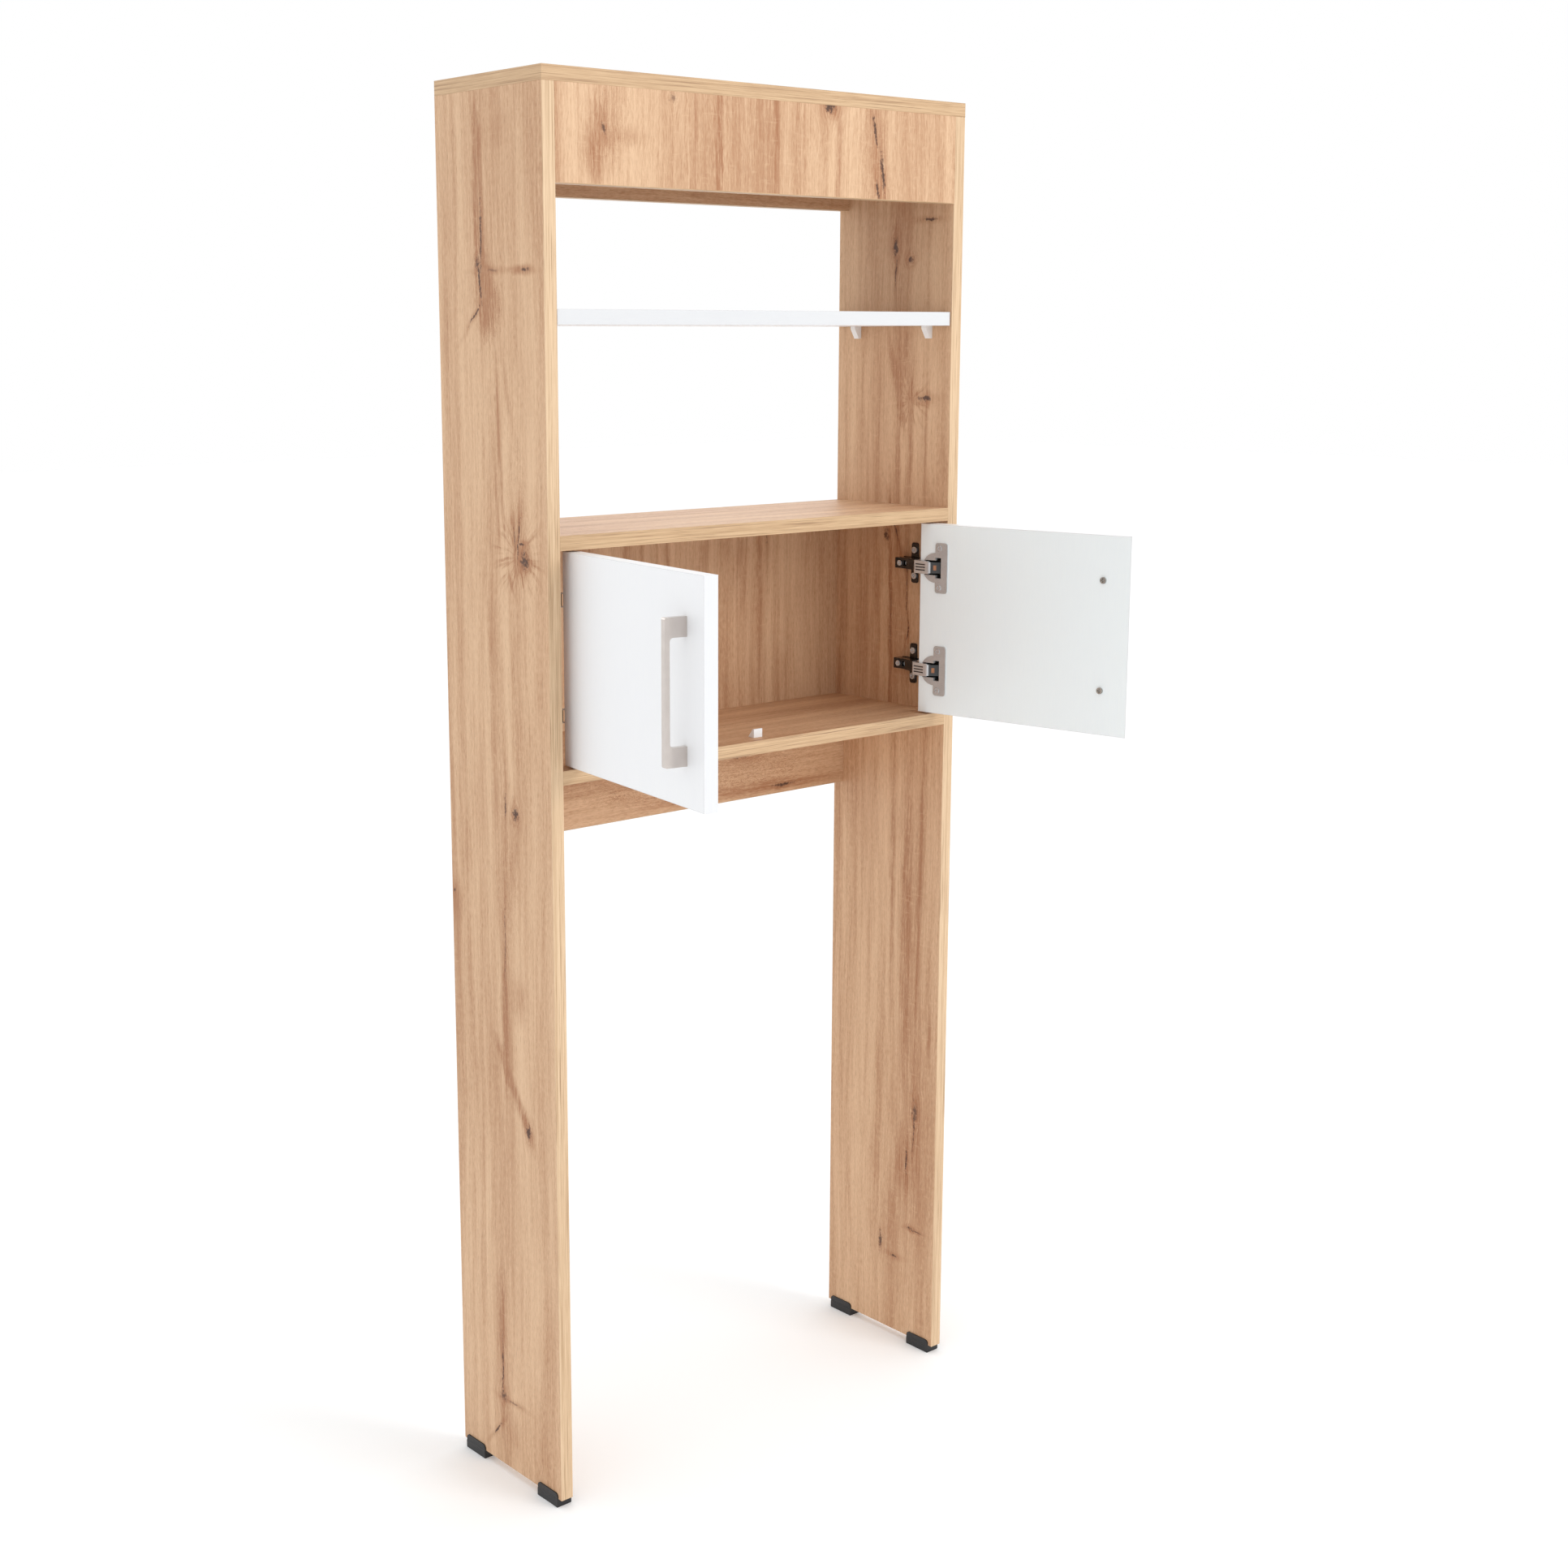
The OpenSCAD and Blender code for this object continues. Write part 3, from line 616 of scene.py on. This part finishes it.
# %% Fascia
FASCIA_MARKS = [
    Mark("stain", 76, 1524, 18, 40, lean=0.1, strength=0.6),
    Mark("stain", 66, 1492, 12, 30, lean=-0.2, strength=0.45),
    Mark("flame", 92, 1540, 26, 60, strength=0.3),
    Mark("crack", 79, 1526, 3, 9, lean=-0.3, strength=0.7),
    Mark("stain", 112, 1520, 20, 9, strength=0.4),
    Mark("knot", 172, 1562, 6, 7, strength=0.5),
    Mark("stain", 236, 1520, 5, 140, strength=0.9),
    Mark("stain", 222, 1520, 18, 160, strength=0.3),
    Mark("stain", 262, 1520, 26, 160, strength=0.35),
    Mark("stain", 202, 1520, 3, 140, strength=0.5),
    Mark("stain", 306, 1520, 22, 160, strength=0.5),
    Mark("stain", 320, 1520, 3.5, 140, strength=0.7),
    Mark("knot", 400, 1568, 9, 9, strength=1.0),
    Mark("crack", 402, 1569, 7, 6, strength=1.0),
    Mark("stain", 414, 1520, 5, 140, strength=0.6),
    Mark("flame", 470, 1530, 26, 90, strength=0.3),
    Mark("stain", 545, 1520, 30, 160, strength=0.3),
    Mark("crack", 472, 1545, 3, 22, lean=-0.25, strength=0.9),
    Mark("crack", 484, 1500, 3, 34, lean=-0.12, strength=0.9),
    Mark("crack", 478, 1478, 2.5, 16, lean=-0.2, strength=0.9),
    Mark("stain", 478, 1515, 13, 70, lean=-0.15, strength=0.5),
]
oak_fascia = oak("oak_fascia", upright_face, no_depth, height, FASCIA_MARKS, seed=7.9)
print("marks on the fascia:", len(FASCIA_MARKS))

# %% Inner face of the right side
INNER_MARKS = [
    Mark("knot", 97, 1422, 5, 14, strength=1.0),
    Mark("crack", 95, 1392, 1.6, 26, strength=0.8),
    Mark("knot", 70, 1406, 6, 5, strength=0.9),
    Mark("crack", 38, 1453, 14, 2, strength=0.9),
    Mark("stain", 85, 1450, 22, 70, strength=0.6),
    Mark("stain", 80, 1290, 20, 60, strength=0.7),
    Mark("crack", 43, 1240, 14, 4, strength=1.0),
    Mark("fan", 66, 1236, 40, 50, strength=0.7),
    Mark("stain", 92, 1260, 5, 50, lean=0.25, strength=0.8),
    Mark("stain", 86, 1150, 4, 90, strength=0.7),
    Mark("stain", 66, 1160, 5, 80, strength=0.7),
    Mark("stain", 40, 1170, 3, 90, strength=0.5),
    Mark("knot", 105, 1070, 6, 8, strength=0.9),
    Mark("stain", 96, 960, 3.5, 130, lean=0.02, strength=1.0),
    Mark("crack", 96, 960, 1.2, 70, lean=0.02, strength=0.5),
    Mark("crack", 68, 1000, 1.5, 60, lean=0.03, strength=0.6),
    Mark("crack", 66, 950, 2, 14, lean=-0.2, strength=0.8),
    Mark("stain", 80, 960, 18, 120, strength=0.45),
    Mark("crack", 90, 1082, 2.4, 26, lean=0.35, strength=0.8),
    Mark("stain", 140, 960, 20, 130, strength=0.4),
    Mark("stain", 85, 640, 4, 200, strength=0.7),
    Mark("stain", 60, 600, 9, 220, strength=0.6),
    Mark("stain", 36, 640, 2.5, 190, lean=-0.02, strength=0.9),
    Mark("stain", 48, 420, 24, 330, strength=0.4),
    Mark("stain", 30, 250, 8, 150, strength=0.5),
    Mark("crack", 40, 300, 1.6, 50, strength=0.7),
    Mark("stain", 14, 430, 3, 30, strength=0.7),
    Mark("knot", 38, 325, 6, 14, strength=0.7),
    Mark("crack", 52, 252, 1.8, 24, strength=1.0),
    Mark("stain", 60, 250, 14, 40, strength=0.6),
    Mark("knot", 43, 162, 5, 3, strength=1.0),
    Mark("crack", 32, 160, 12, 1.4, strength=0.7),
    Mark("knot", 98, 128, 4, 14, strength=1.0),
    Mark("crack", 72, 114, 8, 2.5, strength=0.9),
    Mark("stain", 80, 160, 12, 70, strength=0.6),
]
oak_side_right = oak("oak_side_right", upright_side, other_face, height, INNER_MARKS, seed=2.1)
print("marks on the right side:", len(INNER_MARKS))

# %% Back of the cupboard
BACK_MARKS = [
    Mark("stain", 470, 1000, 5, 130, strength=0.8),
    Mark("stain", 440, 1040, 14, 90, strength=0.5),
    Mark("crack", 482, 1075, 2, 30, strength=0.5),
    Mark("stain", 380, 1060, 9, 120, lean=0.05, strength=0.5),
    Mark("stain", 320, 1000, 6, 140, strength=0.6),
    Mark("knot", 250, 930, 7, 12, strength=0.8),
    Mark("stain", 180, 980, 12, 150, strength=0.5),
]
oak_back = oak("oak_back", upright_face, no_depth, height, BACK_MARKS, seed=9.2)
print("marks on the cupboard's back:", len(BACK_MARKS))

# %% Back rails
RAIL_MARKS = [
    Mark("knot", 792, -30, 7, 16, strength=0.9),
    Mark("stain", 792, -10, 14, 60, strength=0.7),
    Mark("knot", 800, 120, 8, 18, strength=0.8),
    Mark("flame", 776, 60, 26, 200, strength=0.9),
    Mark("flame", 800, -190, 20, 130, strength=0.7),
    Mark("stain", 752, 120, 8, 200, strength=0.6),
    Mark("crack", 752, 190, 3, 26, strength=0.9),
    Mark("crack", 768, 60, 4, 6, strength=0.6),
]
oak_rail = oak("oak_rail", height, no_depth, along_width, RAIL_MARKS, seed=5.3)
print("marks on the rails:", len(RAIL_MARKS))

# %% [markdown]
# ## Oak banding
# The edges of a board are closed with a strip of paper banding, glued on from a roll. It is
# paler and yellower than the face, and its fine lines always run along the strip. So it
# needs no knots: three noises, drawn out very long, do for it. The same finish in the colour
# of beech is used for the dowels.

# %% Banding: pale, middling and dark tones, then the finish
FRONT_BAND = (paint(229, 199, 163), paint(203, 169, 132), paint(156, 121, 90))
TOP_BAND = (paint(215, 182, 143), paint(188, 152, 115), paint(138, 104, 76))
BEECH_TONES = (paint(226, 200, 158), paint(206, 176, 132), paint(172, 140, 100))


def banding(name, tones, across, along, seed):
    finish = Finish(name, {"Specular IOR Level": 0.4})
    pale, mid, dark = tones
    flow = finish.vector(across(finish), along(finish), seed)
    line = finish.noise(finish.stretch(flow, (800, 7, 1)), 3.0, 0.65) - 0.5
    fine = finish.noise(finish.stretch(flow, (2200, 34, 1)), 2.0, 0.6) - 0.5
    broad = finish.noise(finish.stretch(flow, (220, 2.6, 1)), 2.0, 0.5) - 0.5
    light = (0.5 + line * 1.5 + fine * 1.2 + broad).fade(0.1, 0.9)
    colour = finish.mix(light, mid, pale)
    colour = finish.mix((-0.04 - line).fade(0.0, 0.16) * 0.75, colour, dark)
    finish.bump(fine, 0.1 * MM)
    return finish.show(colour, 0.46 + fine * 0.2)


banding_upright = banding("banding_upright", FRONT_BAND, both_widths, height, 1.0)
banding_level = banding("banding_level", TOP_BAND, level, along_width, 2.0)
banding_top = banding("banding_top", TOP_BAND, height, both_widths, 4.0)
beech = banding("beech", BEECH_TONES, level, along_width, 3.0)
print("made:", banding_upright.name, banding_level.name, banding_top.name, beech.name)

# %% [markdown]
# ## White melamine
# The doors and the loose shelf are faced in white melamine paper, pressed with a faint wood
# pore that only shows as a change of gloss. One pure white for all would look like a hole
# cut in the rack, so each board has its own shade, and some of these shades are painted
# light. The right door, which turns its inside to the room, is the coolest, to offset the warm
# light that the oak bounces onto it. The door bands and the edge of the shelf, which is banded
# in plastic, are greyer, the shelf edge the greyest, to offset the key lamp that falls full on
# the edges.

# %% White boards


def melamine(name, shade, across, along, cool=0):
    """White board. cool takes some red away."""
    finish = Finish(name, {"Specular IOR Level": 0.45})
    flow = finish.vector(across(finish), along(finish), 0.0)
    pore = finish.noise(finish.stretch(flow, (1100, 34, 1)), 3.0, 0.6) - 0.5
    broad = finish.noise(finish.stretch(flow, (18, 2.5, 1)), 2.0, 0.5) - 0.5
    low = paint(shade - 4 - cool, shade - 3, shade)
    high = paint(shade - cool, shade + 1, shade + 2)
    colour = finish.mix((0.5 + pore + broad * 0.5).fade(0.0, 1.0), low, high)
    finish.bump(pore, 0.08 * MM)
    return finish.show(colour, 0.40 + pore * 0.18)


white_upright = melamine("white_upright", 246, both_widths, height)
# Painted light: a cooler white for the right door, to offset the warm light that the oak bounces
# onto it.
white_cooled_for_bounce = melamine("white_cooled_for_bounce", 252, both_widths, height, cool=6)
# Painted shade: a greyer white for the shelf edge, to offset the key lamp that falls full on it.
white_shelf_edge = melamine("white_shelf_edge", 222, level, along_width)
white_level = melamine("white_level", 244, level, along_width)
# Painted shade: a greyer white for the door bands, to offset the key lamp that falls full on
# them.
white_band = melamine("white_band", 233, both_widths, height)
print("white boards made, the door's face is", white_upright.name)

# %% [markdown]
# ## Moulded plastic
# The feet, the shelf pins and the door stop are moulded. Moulded plastic has one colour and
# a fine grain from the mould, so a small bump says more about it than its colour.

# %% Plastics


def moulded(name, colour, dark, roughness):
    finish = Finish(name, {"Specular IOR Level": 0.5})
    grain = finish.noise(finish.stretch(finish.place, (2200, 2200, 2200))) - 0.5
    cloud = finish.noise(finish.stretch(finish.place, (60, 60, 60)))
    finish.bump(grain, 0.05 * MM)
    return finish.show(finish.mix(cloud, colour, dark), roughness + grain * 0.2)


black_plastic = moulded("black_plastic", paint(34, 34, 36), paint(26, 26, 28), 0.42)
white_plastic = moulded("white_plastic", paint(243, 243, 243), paint(236, 236, 236), 0.35)
print("plastics made:", black_plastic.name, white_plastic.name)

# %% [markdown]
# ## Plated metal
# The hinges are plated steel: the arms nearly black, the links and cups bright. The handles
# are satin nickel, brushed along their length. Brushing is noise drawn out along the brush,
# which changes the gloss a little from line to line. Small fittings are tumbled in a barrel
# instead, which leaves a grain without a direction. The bright links and cups are less than
# fully metallic here, because a small full mirror goes black wherever it faces a dark part.

# %% Plating


def plated(name, colour, dull, roughness, brush, metal=1.0, marks=()):
    """Plated steel. brush is how fine its lines are along x, y and z."""
    finish = Finish(name, {"Metallic": metal})
    line = finish.noise(finish.stretch(finish.place, brush), 3.0, 0.6) - 0.5
    cloud = finish.noise(finish.stretch(finish.place, (90, 90, 90)))
    shown = finish.mix(cloud, colour, dull)
    # Each mark paints its tone over the plating: on the hinges, painted shade and the bronze
    # spring leaf.
    for where, tone in marks:
        shown = finish.mix(where(finish) * 0.94, shown, tone)
    finish.bump(line, 0.006 * MM)
    return finish.show(shown, roughness + line * 0.18)


ALONG_HANDLE = (1800, 1800, 60)
TUMBLED = (900, 900, 900)
SCREW_GRAIN = (1200, 1200, 1200)
ARM_GRAIN = (300, 300, 300)
ZINC_TONES = (paint(190, 187, 182), paint(160, 157, 152))
BRONZE_TONES = (paint(196, 128, 84), paint(172, 108, 70))
SATIN_TONES = (paint(216, 207, 201), paint(198, 189, 183))
DARK_TONES = (paint(82, 82, 84), paint(52, 52, 54))

satin_nickel = plated("satin_nickel", *SATIN_TONES, 0.20, ALONG_HANDLE)
dark_nickel = plated("dark_nickel", *DARK_TONES, 0.18, ARM_GRAIN, metal=0.85)
spring_bronze = plated("spring_bronze", *BRONZE_TONES, 0.30, TUMBLED)
zinc = plated("zinc_screw", *ZINC_TONES, 0.30, SCREW_GRAIN)
print("metals made:", satin_nickel.name, dark_nickel.name, spring_bronze.name, zinc.name)

# %% [markdown]
# ## Grooves, shade and spring on a hinge
# A hinge link is a pressed channel with three short grooves in its back, and the bronze leaf
# of the closing spring shows across its end. Painted shade darkens the grooves, the end of the
# link that reaches into the cup, and the inside of the cup. These are a millimetre or two
# across, and too shallow to throw a shadow worth the name, so they are drawn by colour. Each
# function below gives 1 where such a mark is, and 0 elsewhere. They measure from the middle
# of the nearest hinge and from the front of the rack.

# %% Where the marks of a hinge are
LINKS = [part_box(f"hinge_link_left_{rise}") for rise in ("upper", "lower")]
LINK_LEVELS = [sum(corner.z for corner in box) / 2 for box in LINKS]
OPEN = math.radians(99)


def off_middle(finish):
    """How far above or below the middle of the nearest hinge a point is."""
    upper, lower = (abs(finish.z - middle) for middle in LINK_LEVELS)
    return upper.smaller(lower)


def from_to(distance, start, end, soft):
    """1 from start to end, both in millimetres, with edges so many millimetres soft."""
    rise = distance.fade(start * MM, (start + soft) * MM)
    return rise * (1 - distance.fade((end - soft) * MM, end * MM))


# Painted shade in the three pressed grooves of the link.
def link_groove_shade(finish):
    off, behind = off_middle(finish), finish.y - FRONT
    middle = 1 - off.fade(0.6 * MM, 0.8 * MM)
    outer = off.fade(2.6 * MM, 2.8 * MM) * (1 - off.fade(4.0 * MM, 4.3 * MM))
    return middle.larger(outer) * from_to(behind, 4.8, 21.2, 0.3)


# Painted shade on the end of the link, where it reaches into the cup.
def link_end_shade(finish):
    return 1 - (finish.y - FRONT).fade(-3.2 * MM, -1.2 * MM)


def spring_window(finish):
    across = from_to(finish.y - FRONT, -8.8, -4.8, 1.2)
    return across * (1 - off_middle(finish).fade(2.4 * MM, 3.6 * MM))


def cup_pocket_shade(finish):
    """Painted shade inside the cup, by the depth into the door, measured square to it as it
    stands open.
    """
    inward = RIGHT_X - 32 * MM - abs(finish.x)
    behind = finish.y - FRONT - 2.9 * MM
    depth = inward * math.sin(OPEN) + behind * math.cos(OPEN) + 2.9 * MM
    return 1 - depth.fade(12.5 * MM, 15.6 * MM)


print("hinges stand at heights", [round(middle, 3) for middle in LINK_LEVELS])

# %% Bright metals of the hinges
# The near black below is painted shade, for the grooves and the end of a link and for the inside
# of a cup.
PAINTED_SHADE = paint(34, 31, 30)
LEAF = paint(168, 112, 78)
PLATING = (paint(222, 225, 228), paint(198, 201, 204), 0.18, TUMBLED, 0.5)
CUP_PLATING = (paint(204, 205, 206), paint(188, 189, 190), 0.30, TUMBLED, 0.4)
LINK_SHADE_AND_LEAF = [(link_groove_shade, PAINTED_SHADE), (link_end_shade, PAINTED_SHADE), (spring_window, LEAF)]

bright_nickel = plated("bright_nickel", *PLATING)
link_nickel = plated("link_nickel", *PLATING, marks=LINK_SHADE_AND_LEAF)
cup_nickel = plated("cup_nickel", *CUP_PLATING, marks=[(cup_pocket_shade, PAINTED_SHADE)])
print("hinge metals made:", bright_nickel.name, link_nickel.name, cup_nickel.name)

# %% [markdown]
# ## Giving out the finishes
# A part is known by how its name starts, and the first line that fits wins, so that
# handle_screws comes before handle. Any part that no line fits is a level board.

# %% Which part has which finish
FINISHES = {
    "back_panel_nails": zinc,
    "side_panel_left": oak_side_left,
    "side_panel_right": oak_side_right,
    "fascia_board": oak_fascia,
    "upper_back_rail": oak_rail,
    "lower_back_rail": oak_rail,
    "side_edge_bands": banding_upright,
    "top_edge_bands": banding_top,
    "board_edge_bands": banding_level,
    "shelf_edge_bands": white_shelf_edge,
    "adjustable_shelf": white_level,
    "back_panel": oak_back,
    "door_panel_left": white_upright,
    "door_panel_right": white_cooled_for_bounce,
    "door_edge_bands": white_band,
    "foot_screws": zinc,
    "foot": black_plastic,
    "shelf_pins": white_plastic,
    "door_stop": white_plastic,
    "handle_screws": zinc,
    "handle": satin_nickel,
    "hinge_plate_screws": bright_nickel,
    "hinge_arm_screws": bright_nickel,
    "hinge_arm_pins": bright_nickel,
    "hinge_plate": dark_nickel,
    "hinge_arm": dark_nickel,
    "hinge_link": link_nickel,
    "hinge_cup": cup_nickel,
    "cup_screws": bright_nickel,
    "cup_pins": bright_nickel,
    "cup_springs": spring_bronze,
    "cam": zinc,
    "dowels": beech,
}


def finish_of(name):
    """The finish whose name the part's name starts with, or else the level oak."""
    for start, material in FINISHES.items():
        if name.startswith(start):
            return material
    return oak_level


for name, part in nodes.items():
    part.material_slots[0].material = finish_of(name)
print("finished parts:", len(nodes))

# %% [markdown]
# ## Soft edges on the fittings
# A pressed, cast or moulded part has no knife edges, and it is the bright line along a
# rounded edge that makes it look real. Each small fitting is made again from the part's own
# solid: the flat triangles are joined into whole faces, every sharp edge is rounded over,
# and the shading is smoothed so that the broad faces stay flat. A bevel on the mesh itself
# was chosen over a modifier, because the joined faces have to come first.

# %% Rounding a shape
WELD = 0.002 * MM
SHARP = math.radians(30)
FLAT = math.radians(0.4)


def rounded(name, radius):
    """A part's mesh with its sharp edges rounded to so many millimetres."""
    shape = bmesh.new()
    shape.from_mesh(nodes[name].data)
    bmesh.ops.remove_doubles(shape, verts=shape.verts, dist=WELD)
    bmesh.ops.dissolve_limit(shape, angle_limit=FLAT, verts=shape.verts, edges=shape.edges)
    sharp = [edge for edge in shape.edges if edge.is_manifold and edge.calc_face_angle() > SHARP]
    how = {"segments": 2, "profile": 0.5, "affect": "EDGES", "clamp_overlap": True}
    bmesh.ops.bevel(shape, geom=sharp, offset=radius * MM, **how)
    mesh = bpy.data.meshes.new(name + "_soft")
    shape.to_mesh(mesh)
    shape.free()
    mesh.polygons.foreach_set("use_smooth", [True] * len(mesh.polygons))
    return mesh


print("edges sharper than", round(math.degrees(SHARP)), "degrees are rounded")

# %% Putting the softened fittings in the parts' places


def soften(name, radius):
    """Makes a part again with its sharp edges rounded, and hides the plain one."""
    source = nodes[name]
    mesh = rounded(name, radius)
    piece = bpy.data.objects.new(name + "_soft", mesh)
    bpy.context.scene.collection.objects.link(piece)
    piece.modifiers.new("flat_faces", "WEIGHTED_NORMAL").weight = 100
    mesh.materials.append(source.material_slots[0].material)
    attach(piece, source["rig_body"])
    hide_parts(name)


SIDES = ("left", "right")
HINGE_PARTS = ("plate", "arm", "link", "cup")
SOFT_EDGES = {f"handle_{side}": 1.0 for side in SIDES}
SOFT_EDGES |= {f"foot_{row}_{side}": 0.35 for row in ("front", "rear") for side in SIDES}
SOFT_EDGES |= {"shelf_pins": 0.5, "door_stop": 0.5}
for part in HINGE_PARTS:
    for side in SIDES:
        SOFT_EDGES |= {f"hinge_{part}_{side}_{rise}": 0.35 for rise in ("upper", "lower")}
for name, radius in SOFT_EDGES.items():
    soften(name, radius)
print("softened fittings:", len(SOFT_EDGES))

# %% [markdown]
# ## The room's light
# The light of a white room comes from all round, most of it from above. A sky that gets
# brighter upwards does that without any lamp. Metal shows the room itself, and an evenly
# white room makes it look like grey paint. So mirrored light has a sky of its own, darker
# before the rack and brighter behind it. What the camera sees of the sky is plain white.

# %% Sky
SKY_LOW = 0.72
SKY_HIGH = 1.15
MIRROR_FRONT = 0.50
MIRROR_BACK = 1.90
SKY_WHITE = 1.0

world = bpy.data.worlds.new("studio")
bpy.context.scene.world = world
world.use_nodes = True
sky = Recipe(world.node_tree)
background = world.node_tree.nodes["Background"]
background.inputs["Color"].default_value = (1, 1, 1, 1)
_, backward, upward = sky.split(sky.add("ShaderNodeTexCoord", out="Generated"))
mirrored = backward.span(-1.0, 1.0, MIRROR_FRONT, MIRROR_BACK)
strength = upward.span(0.0, 1.0, SKY_LOW, SKY_HIGH)
for ray, shown in (("Is Glossy Ray", mirrored), ("Is Camera Ray", SKY_WHITE)):
    which = sky.add("ShaderNodeLightPath", out=ray)
    strength = sky.add("ShaderNodeMix", {"data_type": "FLOAT"}, {0: which, 2: strength, 3: shown})
sky.feed(background.inputs["Strength"], strength)
print("sky nodes:", len(world.node_tree.nodes))

# %% [markdown]
# ## One soft lamp
# A broad lamp high at the front right gives the fronts a little more light than the outer
# left side, so that the corner of the rack reads as a corner. It is as wide as the rack is
# tall, which leaves no hard shadow.

# %% Key lamp
KEY_PLACE = Vector((1.3, -3.2, 2.6))
KEY_AIM = Vector((0, 0.1, 0.8))
KEY_SIZE = 1.6
KEY_POWER = 42

lamp = bpy.data.lights.new("key", "AREA")
lamp.size = KEY_SIZE
lamp.energy = KEY_POWER
key = bpy.data.objects.new("key", lamp)
key.location = KEY_PLACE
key.rotation_euler = (KEY_AIM - KEY_PLACE).to_track_quat("-Z", "Y").to_euler()
bpy.context.scene.collection.objects.link(key)
print("lamp of", KEY_POWER, "W,", round((KEY_AIM - KEY_PLACE).length, 2), "m from the rack")

# %% [markdown]
# ## Floor
# The floor is a wide plain sheet, nearly white and quite dull. A touch of its own light lifts
# it to the white of the sky, so that no horizon shows and only the soft shadows under the
# feet remain. The plain Standard view keeps the colours of the finishes as they were mixed.

# %% Floor
FLOOR_SIZE = 40
FLOOR_VALUES = {
    "Roughness": 0.9,
    "Specular IOR Level": 0.1,
    "Base Color": (0.965, 0.975, 0.98, 1),
    "Emission Color": (1, 1, 1, 1),
    "Emission Strength": 0.05,
}
bpy.ops.mesh.primitive_plane_add(size=FLOOR_SIZE, location=(0, 0, 0))
floor = bpy.context.object
floor.name = "floor"
floor.data.materials.append(Finish("floor_white", FLOOR_VALUES).material)
bpy.context.scene.view_settings.view_transform = "Standard"
print("floor laid, finished in", floor.data.materials[0].name)

# %% [markdown]
